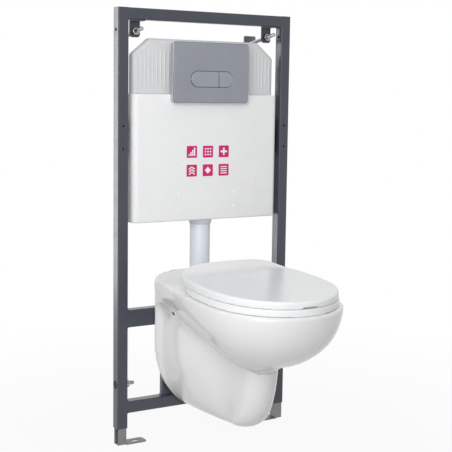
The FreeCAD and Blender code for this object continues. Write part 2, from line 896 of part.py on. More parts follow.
def bowl_outside():
    """The bowl's round hull, from the sloping rim down to its keel."""
    keel = -num("bowl_keel")
    rim = num("rim_front_high")
    spread_at_back = num("flange_half") / num("pan_half")
    sections = []
    for share in (0, 0.2, 0.42, 0.66, 0.84, 0.96):
        round_off = math.sqrt(1 - share ** BOWL_ROUND)
        half = num("pan_half") * round_off
        back_half = half * (spread_at_back - BOWL_TUCK * share ** TUCK_BEND)
        back = keel * share ** BOWL_SWEEP
        widest = -num("pan_widest") + (keel + num("pan_widest")) * share ** 2
        front = keel - (num("pan_front") - num("bowl_keel")) * round_off
        level = rim_high_at if share == 0 else rim - (rim - num("bowl_low")) * share
        sections.append(nose(half, back_half, back, widest, front, level))
    return Part.makeLoft(sections, True)


def keel_outline(half, front, column, level):
    """A level outline of the trap: straight at the back, drawn in to a round column at its front."""
    back = -num("flange_thick") / 2
    straight = -num("trap_straight")
    middle = front + column
    right = [(half, back)]
    draw_steps = 6
    for step in range(draw_steps):
        share = step / draw_steps
        ease = share * share * (3 - 2 * share)
        right.append((half + (column - half) * ease, straight + (middle - straight) * share))
    nose_steps = 4
    for step in range(nose_steps):
        turn = math.pi / 2 * step / nose_steps
        right.append((column * math.cos(turn), middle + (front - middle) * math.sin(turn)))
    return mirrored(right, front, level)


def trap_outside():
    """The keel-shaped body under the bowl that hides the trap."""
    straight = num("flange_straight_low")
    low = num("pan_low")
    widest = num("flange_half") - num("flange_inset")
    foot_front = num("trap_foot_front")
    sections = []
    for share in (0.02, 0.06, 0.16, 0.34, 0.62, 0.86, 1):
        half = widest * math.sqrt(1 - (1 - share) ** 2)
        chin = (1 - (1 - share) ** TRAP_CHIN) ** (1 / TRAP_CHIN) * (1 - TRAP_LEAN * (1 - share))
        front = -foot_front - (num("trap_front") - foot_front) * chin
        column = min(num("trap_nose"), half * TRAP_NOSE)
        sections.append(keel_outline(half, front, column, low + (straight - low) * share))
    for share in (0.3, 0.6, 1):
        level = straight + (num("trap_high") - straight) * share
        sections.append(keel_outline(widest, -num("trap_front"), num("trap_nose"), level))
    return Part.makeLoft(sections, True)


def deck_rise():
    """The arched rise at the back of the deck, falling forwards to the rim."""
    half = num("flange_half")
    sink = num("deck_sink")
    steps = 10
    arches = []
    for along, rise in ((0, num("deck_rise")), (-num("deck_rise_depth"), -num("flange_sink"))):
        base = rim_high_at(along) - sink
        arch = []
        for step in range(steps + 1):
            turn = math.pi * step / steps
            across = half * bent(math.cos(turn), DECK_ARCH)
            lift = (sink + rise) * bent(math.sin(turn), DECK_ARCH)
            arch.append(FreeCAD.Vector(across, along, base + lift))
        arches.append(closed_spline(arch))
    return Part.makeLoft(arches, True)


def flange():
    """The flat back of the pan that bears on the wall: upright sides and an elliptical foot."""
    half = num("flange_half")
    straight = num("flange_straight_low")
    low = num("pan_low") + num("flange_foot_lift")
    top = rim_high_at(-num("flange_thick")) - num("flange_sink")
    arc = []
    steps = 12
    for step in range(steps + 1):
        turn = math.pi * step / steps
        arc.append(FreeCAD.Vector(half * math.cos(turn), 0, straight - (straight - low) * math.sin(turn)))
    curve = Part.BSplineCurve()
    curve.interpolate(arc)
    corner_right = FreeCAD.Vector(half, 0, top)
    corner_left = FreeCAD.Vector(-half, 0, top)
    outline = Part.Wire([
        Part.makeLine(corner_right, arc[0]),
        curve.toShape(),
        Part.makeLine(arc[-1], corner_left),
        Part.makeLine(corner_left, corner_right),
    ])
    return Part.Face(outline).extrude(FreeCAD.Vector(0, -num("flange_thick"), 0))


def rod_cut(across, high, diameter, depth):
    """A round hole drilled forwards into the pan from its back face."""
    start = FreeCAD.Vector(across, HOLE_SPARE, high)
    return Part.makeCylinder(diameter / 2, depth + HOLE_SPARE, start, FreeCAD.Vector(0, -1, 0))


def bowl_inside():
    """The hollow of the bowl, from above its opening down to its floor."""
    top_half = num("bowl_opening_half")
    top_front = -num("bowl_opening_front")
    top_back = -num("bowl_opening_back")
    low_half = num("bowl_floor_half")
    low_front = -num("bowl_floor_front")
    low_back = -num("bowl_floor_back")
    floor = num("bowl_floor")
    sections = [oval(top_half, top_back, top_front, lambda along: rim_high_at(along) + BOWL_SPARE)]
    for share in (0.15, 0.5, 0.8, 1):
        swell = math.sqrt(1 - share ** BOWL_ROUND) if share < 1 else 0
        level = num("rim_front_high") + (floor - num("rim_front_high")) * share
        sections.append(oval(
            low_half + (top_half - low_half) * swell,
            low_back + (top_back - low_back) * swell,
            low_front + (top_front - low_front) * swell,
            level,
        ))
    return Part.makeLoft(sections, True)


def pan():
    """The ceramic pan: flange, trap body and bowl, hollowed by the bowl's inside."""
    solid = bowl_outside().fuse([trap_outside(), flange(), deck_rise()])
    stud_hole = num("stud_bore") + num("stud_clearance") * 2
    inlet = num("pipe_bore") + num("inlet_gap") * 2
    outlet = num("waste_bore") + num("fit_gap") * 2
    holes = [
        bowl_inside(),
        rod_cut(0, num("inlet_high"), inlet, num("pipe_entry") + HOLE_SPARE),
        rod_cut(0, num("outlet_high"), outlet, num("waste_entry") + HOLE_SPARE),
    ]
    for name, side in SIDES:
        depth = num("stud_reach") + HOLE_SPARE
        holes.append(rod_cut(num("stud_middle") * side, num("stud_high"), stud_hole, depth))
        start = FreeCAD.Vector(num("side_bore_inner") * side, -num("side_bore_back"), num("side_bore_high"))
        across = FreeCAD.Vector(side, 0, 0)
        holes.append(Part.makeCylinder(num("side_bore") / 2, num("pan_half"), start, across))
    piece = doc.addObject("Part::Feature", "ceramic_pan")
    piece.Shape = solid.cut(holes).removeSplitter()
    keep(piece, "pan")


def pan_studs():
    """Screwed studs from a nut behind the pan rail into the pan's back."""
    thick = dim("stud_nut_thick")
    nut_back = tube_size + thick
    high = dim("stud_high")
    for name, side in SIDES:
        stud = new_body(name + "_pan_stud")
        middle = dim("stud_middle") * side
        reach = nut_back + dim("stud_reach")
        pad(stud, "XZ_Plane", -nut_back, reach, circle, middle, high, dim("stud_bore"))
        pad(stud, "XZ_Plane", -nut_back, thick, hexagon, middle, high, dim("stud_nut"))


def spread_numbers(side, near, far):
    """Two plain numbers across, mirrored to a side, in rising order."""
    if side < 0:
        return -far, -near
    return near, far


def hinge_bar(near, far, diameter):
    """A round bar along the hinge line between two places across, above a level rim."""
    start = FreeCAD.Vector(near, -num("hinge_back"), num("hinge_high"))
    return Part.makeCylinder(diameter / 2, far - near, start, FreeCAD.Vector(1, 0, 0))


def block(near, far, front, back, low, high):
    """A box between three pairs of places."""
    return Part.makeBox(far - near, back - front, high - low, FreeCAD.Vector(near, front, low))


def lay_on_rim(label, shape):
    """Keep a piece that was drawn on a level rim, laid on the sloping one."""
    pivot = FreeCAD.Vector(0, -num("pan_front"), 0)
    rise = FreeCAD.Rotation(FreeCAD.Vector(1, 0, 0), num("rim_slope"))
    piece = doc.addObject("Part::Feature", "rim_" + label)
    piece.Shape = shape.removeSplitter()
    lift = FreeCAD.Vector(0, 0, num("rim_front_high"))
    piece.Placement = FreeCAD.Placement(lift, rise, pivot)
    return keep(piece, label)


def hinge_places():
    """Where the lug and the seat's ear of a hinge lie across."""
    lug_inner = num("hinge_lug_inner")
    lug_outer = lug_inner + num("hinge_lug_width")
    ear_inner = lug_outer + num("hinge_side_gap")
    return lug_inner, lug_outer, ear_inner, ear_inner + num("hinge_ear_width")


def seat_ring():
    """The seat: a flat ring with an ear at each hinge."""
    low = num("fit_gap")
    thick = num("seat_thick")
    up = FreeCAD.Vector(0, 0, thick)
    outline = oval(num("seat_half"), -num("seat_back"), -num("seat_front"), low, SEAT_BACK, SEAT_FRONT)
    rim = Part.Face(outline).extrude(up)
    hole = Part.Face(oval(
        num("seat_hole_half"), -num("seat_hole_back"), -num("seat_hole_front"), low - thick,
    )).extrude(up * 3)
    lug_inner, lug_outer, ear_inner, ear_outer = hinge_places()
    axis = -num("hinge_back")
    radius = num("hinge_lug_depth") / 2
    ears = []
    bores = [hole]
    for name, side in SIDES:
        near, far = spread_numbers(side, ear_inner, ear_outer)
        ears.append(block(near, far, axis - num("hinge_ear_reach"), axis, low, low + thick))
        ears.append(block(near, far, axis - radius, axis, low, num("hinge_high")))
        ears.append(hinge_bar(near, far, 2 * radius))
        bores.append(hinge_bar(near, far, num("hinge_pin") + num("fit_gap") * 2))
    lay_on_rim("seat_ring", rim.fuse(ears).cut(bores))


def lid_top_at(along):
    """Height of the lid's top above the rim: a slow rise to the back, and then a ridge over the hinges."""
    back = -num("lid_back")
    front = -num("seat_front")
    foot = -num("lid_ridge_foot")
    share = min(1, max(0, (along - foot) / (-num("lid_ridge_back") - foot)))
    ridge = num("lid_ridge") * share * share * (3 - 2 * share)
    low = num("seat_thick") + num("fit_gap") * 2
    return low + num("lid_thick") + num("lid_rise") * (along - front) / (back - front) + ridge


def above_lid():
    """Everything above the lid's wavy top."""
    half = 2 * num("seat_half")
    front = -num("seat_front") - num("lid_thick")
    back = -num("lid_back") + num("lid_thick")
    steps = 16
    points = []
    for step in range(steps + 1):
        along = front + (back - front) * step / steps
        points.append(FreeCAD.Vector(-half, along, lid_top_at(along)))
    curve = Part.BSplineCurve()
    curve.interpolate(points)
    lift = FreeCAD.Vector(0, 0, 3 * num("lid_ridge"))
    corners = [points[-1], points[-1] + lift, points[0] + lift, points[0]]
    lines = [Part.makeLine(start, end) for start, end in zip(corners, corners[1:])]
    outline = Part.Wire([curve.toShape()] + lines)
    return Part.Face(outline).extrude(FreeCAD.Vector(2 * half, 0, 0))


def lid():
    """The lid: a thin cover with a ridge at its back that hides the hinges, open below for them."""
    low = num("seat_thick") + num("fit_gap") * 2
    back = -num("lid_back")
    front = -num("seat_front")
    half = num("seat_half")
    tall = FreeCAD.Vector(0, 0, num("lid_thick") + num("lid_rise") + num("lid_ridge"))
    outline = oval(half, back, front, low, LID_BACK, SEAT_FRONT)
    cover = Part.Face(outline).extrude(tall).cut(above_lid())
    top_edges = [edge for edge in cover.Edges if edge.BoundBox.ZMin > low + NEAR and edge.Length > half]
    cover = cover.makeFillet(num("lid_edge"), top_edges)
    lug_inner, lug_outer, ear_inner, ear_outer = hinge_places()
    gap = num("hinge_side_gap")
    axis = -num("hinge_back")
    radius = num("hinge_lug_depth") / 2
    notch = num("lid_notch_half")
    room = [block(-notch, notch, 2 * front, front + num("lid_notch_depth"), 0, low + num("lid_notch_high"))]
    for name, side in SIDES:
        near, far = spread_numbers(side, lug_inner - gap, ear_outer + gap)
        room.append(block(near, far, axis - radius - gap, 0, 0, num("hinge_high") + radius + gap))
        near, far = spread_numbers(side, num("hinge_inner") - gap, lug_inner)
        room.append(hinge_bar(near, far, num("hinge_pin") + num("fit_gap") * 2))
    lay_on_rim("lid", cover.cut(room))


def seat_hinges():
    """A lug on the pan at each side, with the pin that carries the seat and the lid."""
    lug_inner, lug_outer, ear_inner, ear_outer = hinge_places()
    axis = -num("hinge_back")
    depth = num("hinge_lug_depth")
    for name, side in SIDES:
        near, far = spread_numbers(side, lug_inner, lug_outer)
        pin_near, pin_far = spread_numbers(side, num("hinge_inner"), ear_outer)
        lug = block(near, far, axis - depth / 2, axis + depth / 2, 0, num("hinge_high"))
        bars = [hinge_bar(near, far, depth), hinge_bar(pin_near, pin_far, num("hinge_pin"))]
        lay_on_rim(name + "_seat_hinge", lug.fuse(bars))


frame_posts()
frame_rails()
inner_posts()
legs()
lock_bolts()
wall_brackets()
wall_rods()
wall_plates()
cistern()
cistern_brackets()
flush_plate()
flush_pipe()
waste_pipe()
pan()
pan_studs()
seat_ring()
lid()
seat_hinges()


def set_on_wall_plate():
    """Move every sub-part so that the origin lies on the left wall plate, between its two holes."""
    origin_high = rod_low - dim("wall_bolt_step") / 2
    shift = FreeCAD.Vector(rod_middle.number, -num("wall_depth"), -origin_high.number)
    for piece in sub_parts:
        piece.Placement = FreeCAD.Placement(shift, FreeCAD.Rotation()).multiply(piece.Placement)


set_on_wall_plate()
doc.recompute()

for item in doc.Objects:
    if "Invalid" in item.State or "Error" in item.State:
        raise ValueError("%s did not build" % item.Label)
for piece in sub_parts:
    if piece.Shape.isNull() or not piece.Shape.isValid():
        raise ValueError("%s has no sound shape" % piece.Label)

os.makedirs("parts", exist_ok=True)
for piece in sub_parts:
    piece.Shape.exportStep(os.path.join("parts", piece.Label + ".step"))
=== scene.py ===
"""Dresses a wall hung toilet frame: painted tubes, zinc fixings, a foam-clad cistern with its flush plate,
water pipes, a glazed pan and its seat."""

import json
import math

import bmesh
import bpy
from bpy.props import FloatProperty, FloatVectorProperty, IntProperty, PointerProperty
from mathutils import Matrix, Vector
from mathutils.bvhtree import BVHTree
from mathutils.kdtree import KDTree

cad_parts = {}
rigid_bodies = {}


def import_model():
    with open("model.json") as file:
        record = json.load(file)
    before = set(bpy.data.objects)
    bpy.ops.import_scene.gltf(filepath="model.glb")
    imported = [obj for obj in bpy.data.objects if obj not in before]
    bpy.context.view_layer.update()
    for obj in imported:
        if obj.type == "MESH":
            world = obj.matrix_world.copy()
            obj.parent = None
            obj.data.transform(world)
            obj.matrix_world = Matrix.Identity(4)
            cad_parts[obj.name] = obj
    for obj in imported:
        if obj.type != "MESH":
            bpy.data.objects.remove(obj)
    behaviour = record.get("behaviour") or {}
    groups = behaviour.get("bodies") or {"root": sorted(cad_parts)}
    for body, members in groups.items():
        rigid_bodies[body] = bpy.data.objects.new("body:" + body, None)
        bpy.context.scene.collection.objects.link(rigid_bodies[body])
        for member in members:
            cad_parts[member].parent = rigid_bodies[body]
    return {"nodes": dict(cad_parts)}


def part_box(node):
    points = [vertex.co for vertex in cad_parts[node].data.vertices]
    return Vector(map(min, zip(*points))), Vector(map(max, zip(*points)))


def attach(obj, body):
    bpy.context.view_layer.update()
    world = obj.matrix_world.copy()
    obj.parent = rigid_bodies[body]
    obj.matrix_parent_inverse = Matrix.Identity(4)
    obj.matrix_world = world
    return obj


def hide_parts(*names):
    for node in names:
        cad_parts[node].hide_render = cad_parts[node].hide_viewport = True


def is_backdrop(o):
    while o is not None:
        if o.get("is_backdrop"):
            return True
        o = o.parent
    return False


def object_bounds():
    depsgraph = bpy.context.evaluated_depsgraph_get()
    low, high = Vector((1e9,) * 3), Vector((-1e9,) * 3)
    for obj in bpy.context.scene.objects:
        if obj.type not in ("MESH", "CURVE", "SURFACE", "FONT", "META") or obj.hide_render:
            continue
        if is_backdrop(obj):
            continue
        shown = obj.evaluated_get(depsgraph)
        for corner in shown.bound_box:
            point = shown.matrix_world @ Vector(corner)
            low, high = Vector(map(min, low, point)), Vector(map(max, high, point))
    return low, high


bl_info = {
    "name": "Wall hung toilet frame",
    "version": (1, 0, 0),
    "blender": (4, 5, 0),
    "location": "3D View > Sidebar > Toilet frame",
    "description": "Dresses the solids of a wall hung toilet frame with its finishes and finer pieces",
    "category": "Object",
}

for spare in list(bpy.data.objects):
    bpy.data.objects.remove(spare)
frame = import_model()
CAD_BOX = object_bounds()

MM = 0.001
SIDES = ("left", "right")
SIGNS = (-1, 1)
RAIL_LOW, RAIL_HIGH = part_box("top_rail")
MIDDLE = (RAIL_LOW[0] + RAIL_HIGH[0]) / 2
FRONT = RAIL_LOW[1]
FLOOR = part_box("left_leg")[0][2]


def at(across, back, high):
    """A place from millimetres right of the middle, behind the frame's front and above the floor."""
    return Vector((MIDDLE + across * MM, FRONT + back * MM, FLOOR + high * MM))


def measure(point):
    """Millimetres right of the middle, behind the frame's front and above the floor, of a place."""
    return (point.x - MIDDLE) / MM, (point.y - FRONT) / MM, (point.z - FLOOR) / MM


def ease(value, start, end):
    """A soft step from nothing at the start to one at the end."""
    share = min(1, max(0, (value - start) / (end - start)))
    return share * share * (3 - 2 * share)


def hump(value, middle, wide):
    """A soft hump that is one at its middle and dies away on both sides."""
    return math.exp(-((value - middle) / wide) ** 2)


def within(value, limits):
    """Whether a value lies between two limits."""
    return limits[0] < value < limits[1]


def length(name, description, default):
    """A size in metres that a user may change."""
    return FloatProperty(
        name=name, description=description, default=default, min=0, unit="LENGTH", precision=5,
    )


def count(name, description, default):
    """A number of cells or passes that a user may change."""
    return IntProperty(name=name, description=description, default=default, min=0)


def colour(name, description, red, green, blue):
    """A colour that a user may change."""
    return FloatVectorProperty(
        name=name, description=description, default=(red, green, blue, 1), size=4, min=0, max=1,
        subtype="COLOR",
    )


class FrameSizes(bpy.types.PropertyGroup):
    """Sizes of the finer pieces and of the roundings."""

    bead_leg: length("Weld leg", "Leg of the weld beads between rails and posts", 0.0042)
    sheet_edge: length("Sheet edge", "Rounding of the zinc sheet and of the nuts", 0.0004)
    foam_edge: length("Foam edge", "Rounding of the foam jacket's edges", 0.004)
    plate_edge: length("Plate edge", "Rounding of the flush plate and its buttons", 0.0009)
    # The pips are bright chrome discs that stand in for the glints at the buttons' ends: painted highlight.
    glint_pip_radius: length("Pip radius", "Radius of the bright pips at the buttons' ends", 0.0014)
    thread_pitch: length("Thread pitch", "Pitch of the wall rods' thread", 0.0015)
    thread_depth: length("Thread depth", "Depth of the wall rods' thread", 0.0007)
    rib_pitch: length("Rib pitch", "Distance between the tank's upright ribs", 0.0108)
    rib_width: length("Rib width", "Width of one rib of the tank", 0.0062)
    rib_stand: length("Rib stand", "How far the tank's ribs stand out", 0.0012)
    label_square: length("Label square", "Side of one printed square on the jacket", 0.03)
    label_pitch: length("Label pitch", "Distance between the printed squares", 0.047)
    glaze_cell: length("Glaze cell", "Cell of the pan's mesh", 0.004)
    glaze_rounds: count("Glaze rounds", "Passes that soften the pan", 6)
    crease_rings: count("Crease rings", "Cells each side of the pan's crease", 2)
    crease_rounds: count("Crease rounds", "Passes that fill the crease", 18)
    wing_rounds: count("Wing rounds", "Passes that smooth the wings", 50)
    chin_rounds: count("Chin rounds", "Passes that fill the chin", 60)
    sump_deep: length("Sump depth", "Depth of the sump in the bowl's floor", 0.055)
    bush_radius: length("Bush radius", "Radius of the bush in the pan's side", 0.0062)
    under_lip: length("Underside lip", "Width of the lip round the undersides of seat and lid", 0.005)
    under_deep: length("Underside hollow", "Depth of the hollow under seat and lid", 0.004)
    seat_cell: length("Seat cell", "Cell of the seat's and the lid's mesh", 0.002)
    seat_rounds: count("Seat rounds", "Passes that soften seat and lid", 8)


class FrameColours(bpy.types.PropertyGroup):
    """Base colours of the finishes."""

    paint: colour("Paint", "Slate grey paint of the frame", 0.039, 0.043, 0.065)
    paint_worn: colour("Worn paint", "Paint rubbed pale along the edges", 0.12, 0.125, 0.145)
    zinc: colour("Zinc", "Bright zinc plating", 0.62, 0.63, 0.65)
    zinc_dull: colour("Dull zinc", "Dull patches of the zinc", 0.20, 0.205, 0.205)
    tank: colour("Tank", "Grey plastic of the cistern's top", 0.56, 0.58, 0.60)
    foam: colour("Foam", "White foam of the jacket", 0.895, 0.90, 0.905)
    satin: colour("Satin", "Satin chrome of the flush plate", 0.30, 0.315, 0.36)
    bright: colour("Bright", "Polished chrome of the hinges and pips", 0.72, 0.73, 0.75)
    rim: colour("Rim", "Chrome rim round the flush plate", 0.56, 0.57, 0.60)
    pipe: colour("Pipe", "White plastic of the flush pipe", 0.72, 0.75, 0.81)
    # Painted shade: this grey, darker than the pipe's white, stands in for the shade that falls on the nut.
    nut: colour("Nut", "Grey plastic of the flush pipe's nut", 0.60, 0.625, 0.67)
    pad: colour("Pads", "Grey pads under the seat and the lid", 0.46, 0.47, 0.48)
    waste: colour("Waste", "Grey plastic of the waste pipe", 0.34, 0.35, 0.36)
    glaze: colour("Glaze", "White glaze of the pan", 0.825, 0.825, 0.825)
    seat: colour("Seat", "White plastic of the seat and lid", 0.765, 0.765, 0.765)
    ink: colour("Ink", "Magenta print on the jacket", 0.62, 0.012, 0.16)
    # Painted shade: this dark colour fills the holes in the pan's sides, the mouth of its sump and the gap
    # round the buttons.
    rubber: colour("Rubber", "Dark rubber and hole shadow", 0.02, 0.02, 0.022)


def settings(context):
    """The sizes and the colours that hang on the scene."""
    return context.scene.toilet_frame_sizes, context.scene.toilet_frame_colours


VALUE = "NodeSocketFloat"
TONE = "NodeSocketColor"
MIX_MASK, MIX_BELOW, MIX_ABOVE, MIX_RESULT = 0, 6, 7, 2


def add(tree, kind, values=None, **options):
    """A node with its options; each value is a plain one or the socket that feeds it."""
    node = tree.nodes.new(kind)
    for key, option in options.items():
        setattr(node, key, option)
    for key, value in (values or {}).items():
        if isinstance(value, bpy.types.NodeSocket):
            tree.links.new(value, node.inputs[key])
        else:
            node.inputs[key].default_value = value
    return node


def noise(tree, scale, detail, rough=0.5):
    """Noise laid over the object in its own place."""
    place = add(tree, "ShaderNodeTexCoord").outputs["Object"]
    values = {"Vector": place, "Scale": scale, "Detail": detail, "Roughness": rough}
    return add(tree, "ShaderNodeTexNoise", values).outputs["Fac"]


def spread(tree, source, **limits):
    """A value moved from one range to another."""
    values = {key.replace("_", " "): limit for key, limit in limits.items()}
    return add(tree, "ShaderNodeMapRange", {"Value": source, **values}).outputs["Result"]


def product(tree, first, *others):
    """Values multiplied with one another."""
    for other in others:
        first = add(tree, "ShaderNodeMath", {0: first, 1: other}, operation="MULTIPLY").outputs["Value"]
    return first


def blend(tree, below, above, mask):
    """One colour over another by a mask."""
    values = {MIX_MASK: mask, MIX_BELOW: below, MIX_ABOVE: above}
    return add(tree, "ShaderNodeMix", values, data_type="RGBA").outputs[MIX_RESULT]


def shade(tone, share):
    """A colour made darker or lighter by a share."""
    return [min(1, part * share) for part in tone[:3]] + [1]


def new_group(name, inputs, outputs):
    """An empty shader node group, with the sockets that come in and those that go out."""
    group = bpy.data.node_groups.new(name, "ShaderNodeTree")
    for label, default in inputs.items():
        kind = TONE if isinstance(default, tuple) else VALUE
        socket = group.interface.new_socket(name=label, in_out="INPUT", socket_type=kind)
        socket.default_value = default
    for label, kind in outputs.items():
        group.interface.new_socket(name=label, in_out="OUTPUT", socket_type=kind)
    return group, group.nodes.new("NodeGroupInput").outputs, group.nodes.new("NodeGroupOutput").inputs


def grain_group():
    """Even fine grain: a height for bumps and a level between two limits."""
    group, start, end = new_group(
        "fine_grain", {"Scale": 400, "Low": 0.3, "High": 0.5}, {"Height": VALUE, "Level": VALUE},
    )
    speckle = noise(group, start["Scale"], 3.0)
    level = spread(
        group, speckle, From_Min=0.3, From_Max=0.7, To_Min=start["Low"], To_Max=start["High"],
    )
    group.links.new(speckle, end["Height"])
    group.links.new(level, end["Level"])
    return group


def tint_group():
    """Slow drift of a colour between two tones."""
    group, start, end = new_group(
        "slow_tint", {"Light": (1, 1, 1, 1), "Dark": (0, 0, 0, 1), "Scale": 6}, {"Colour": TONE},
    )
    patch = spread(group, noise(group, start["Scale"], 4.0, 0.55), From_Min=0.32, From_Max=0.68)
    group.links.new(blend(group, start["Light"], start["Dark"], patch), end["Colour"])
    return group


def wear_group():
    """Where edges are rubbed: a mask along convex and concave edges, broken up by noise."""
    group, start, end = new_group(
        "edge_wear", {"Width": 0.0015, "Scale": 60, "Amount": 0.6}, {"Mask": VALUE},
    )
    rounded = add(group, "ShaderNodeBevel", {"Radius": start["Width"]}, samples=6).outputs["Normal"]
    plain = add(group, "ShaderNodeNewGeometry").outputs["Normal"]
    turn = add(group, "ShaderNodeVectorMath", {0: rounded, 1: plain}, operation="DOT_PRODUCT")
    edge = spread(group, turn.outputs["Value"], From_Min=0.995, From_Max=0.80)
    broken = spread(group, noise(group, start["Scale"], 3.0), From_Min=0.35, From_Max=0.65)
    group.links.new(product(group, edge, broken, start["Amount"]), end["Mask"])
    return group


def dust_group():
    """Thin dust on what faces up, in loose patches."""
    group, start, end = new_group("settled_dust", {"Scale": 30, "Amount": 0.3}, {"Mask": VALUE})
    surface = add(group, "ShaderNodeNewGeometry").outputs["Normal"]
    parts = add(group, "ShaderNodeSeparateXYZ", {"Vector": surface})
    upward = spread(group, parts.outputs["Z"], From_Min=0.6, From_Max=1.0)
    patch = spread(group, noise(group, start["Scale"], 5.0, 0.6), From_Min=0.4, From_Max=0.7)
    group.links.new(product(group, upward, patch, start["Amount"]), end["Mask"])
    return group


GROUPS = {
    "fine_grain": grain_group,
    "slow_tint": tint_group,
    "edge_wear": wear_group,
    "settled_dust": dust_group,
}


class Finish:
    """A material in the making: its tree, its shader and the steps that link nodes to it."""

    def __init__(self, name, **values):
        self.material = bpy.data.materials.new(name)
        self.material.use_nodes = True
        self.tree = self.material.node_tree
        self.shader = self.tree.nodes["Principled BSDF"]
        for key, value in values.items():
            self.shader.inputs[key.replace("_", " ")].default_value = value

    def group(self, name, **values):
        """Place a shared effect with its own values, and give back what it puts out."""
        tree = bpy.data.node_groups.get(name) or GROUPS[name]()
        return add(self.tree, "ShaderNodeGroup", values, node_tree=tree).outputs

    def place(self, stretch=None):
        """Where a texture is laid: the object's own place, stretched where asked."""
        spot = add(self.tree, "ShaderNodeTexCoord").outputs["Object"]
        if stretch:
            spot = add(self.tree, "ShaderNodeMapping", {"Vector": spot, "Scale": stretch}).outputs["Vector"]
        return spot

    def streaks(self, stretch, detail):
        """Noise drawn out along one way."""
        values = {"Vector": self.place(stretch), "Scale": 1.0, "Detail": detail}
        return add(self.tree, "ShaderNodeTexNoise", values).outputs["Fac"]

    def tint(self, light, share, scale):
        """A base colour that drifts a little darker."""
        return self.group("slow_tint", Light=light, Dark=shade(light, share), Scale=scale)["Colour"]

    def over(self, below, above, mask):
        """One colour over another by a mask."""
        return blend(self.tree, below, above, mask)

    def worn(self, base, tone, width, scale, amount):
        """A colour rubbed to another tone along the edges."""
        return self.over(base, tone, self.group("edge_wear", Width=width, Scale=scale, Amount=amount)["Mask"])

    def dusted(self, base, tone, scale, amount):
        """A colour under thin dust."""
        return self.over(base, tone, self.group("settled_dust", Scale=scale, Amount=amount)["Mask"])

    def colour(self, source):
        """Feed the base colour."""
        self.tree.links.new(source, self.shader.inputs["Base Color"])

    def rough(self, scale, low, high):
        """Roughness that varies between two levels."""
        level = self.group("fine_grain", Scale=scale, Low=low, High=high)["Level"]
        self.tree.links.new(level, self.shader.inputs["Roughness"])

    def bump(self, height, strength, depth):
        """A bump from a height, on top of any bump placed before."""
        values = {"Height": height, "Strength": strength, "Distance": depth}
        before = self.shader.inputs["Normal"].links
        if before:
            values["Normal"] = before[0].from_socket
        node = add(self.tree, "ShaderNodeBump", values)
        self.tree.links.new(node.outputs["Normal"], self.shader.inputs["Normal"])

    def grain(self, scale, strength, depth):
        """A bump of fine grain."""
        self.bump(self.group("fine_grain", Scale=scale)["Height"], strength, depth)


PAINT_DUST = (0.36, 0.35, 0.34, 1)
TANK_DUST = (0.45, 0.44, 0.42, 1)
PLASTIC_DUST = (0.5, 0.48, 0.45, 1)
SATIN_WORN = (0.62, 0.63, 0.65, 1)
GLAZE_THIN = (0.97, 0.965, 0.94)


def paint_finish(colours):
    """Slate grey stoved paint: orange peel, rubbed edges, thin dust on top."""
    finish = Finish("slate_paint", Specular_IOR_Level=0.5, Coat_Weight=0.35, Coat_Roughness=0.22)
    base = finish.tint(colours.paint, share=0.88, scale=9)
    worn = finish.worn(base, colours.paint_worn, width=0.0014, scale=70, amount=0.5)
    finish.colour(finish.dusted(worn, PAINT_DUST, scale=26, amount=0.22))
    finish.rough(scale=35, low=0.30, high=0.42)
    finish.grain(scale=420, strength=0.07, depth=0.0004)
    finish.grain(scale=1700, strength=0.05, depth=0.0002)
    return finish.material


def zinc_finish(name, light, dull, low, high):
    """Zinc plating: bright and dull crystals, fine rolling grain and greyed edges."""
    finish = Finish(name, Metallic=1.0)
    crystals = add(finish.tree, "ShaderNodeTexVoronoi", {"Vector": finish.place(), "Scale": 190})
    tone = add(finish.tree, "ShaderNodeSeparateColor", {"Color": crystals.outputs["Color"]})
    calm = spread(finish.tree, tone.outputs["Red"], To_Min=0.1, To_Max=0.6)
    spangled = finish.over(finish.tint(light, share=0.86, scale=40), dull, calm)
    finish.colour(finish.worn(spangled, shade(light, 1.2), width=0.0010, scale=120, amount=0.5))
    finish.rough(scale=150, low=low, high=high)
    finish.grain(scale=900, strength=0.10, depth=0.0002)
    return finish.material


def tank_finish(colours):
    """Blow moulded grey plastic with upright flow streaks and a faint skin."""
    finish = Finish("tank_plastic", Specular_IOR_Level=0.4, Subsurface_Weight=0.05, Subsurface_Scale=0.004)
    streaks = finish.streaks(stretch=(55, 55, 1.6), detail=3.0)
    calm = spread(finish.tree, streaks, From_Min=0.35, From_Max=0.65, To_Max=0.35)
    base = finish.tint(colours.tank, share=0.95, scale=12)
    streaked = finish.over(base, shade(colours.tank, 1.16), calm)
    finish.colour(finish.dusted(streaked, TANK_DUST, scale=22, amount=0.2))
    finish.rough(scale=40, low=0.36, high=0.5)
    finish.bump(streaks, strength=0.12, depth=0.0012)
    finish.grain(scale=800, strength=0.06, depth=0.0002)
    return finish.material


def foam_finish(colours):
    """White bead foam: packed beads with fine dents between them, the dents painted darker as painted shade.
    """
    finish = Finish("bead_foam", Specular_IOR_Level=0.2)
    values = {"Vector": finish.place(), "Scale": 260}
    beads = add(finish.tree, "ShaderNodeTexVoronoi", values, feature="DISTANCE_TO_EDGE").outputs["Distance"]
    # Painted shade: the foam is darkened in the dents between the beads.
    dent_shade = spread(finish.tree, beads, From_Max=0.12, To_Min=0.22, To_Max=0.0)
    base = finish.tint(colours.foam, share=0.97, scale=8)
    finish.colour(finish.over(base, shade(colours.foam, 0.82), dent_shade))
    finish.rough(scale=120, low=0.62, high=0.78)
    finish.bump(spread(finish.tree, beads, From_Max=0.16), strength=0.10, depth=0.0008)
    finish.grain(scale=1500, strength=0.08, depth=0.0003)
    return finish.material


def satin_finish(name, tone, low, high):
    """Satin chrome on plastic: fine sideways brushing and a slow drift of tone."""
    finish = Finish(name, Metallic=0.75)
    base = finish.tint(tone, share=0.93, scale=14)
    finish.colour(finish.worn(base, SATIN_WORN, width=0.0012, scale=60, amount=0.35))
    finish.rough(scale=60, low=low, high=high)
    finish.bump(finish.streaks(stretch=(14, 14, 900), detail=2.0), strength=0.05, depth=0.0002)
    return finish.material


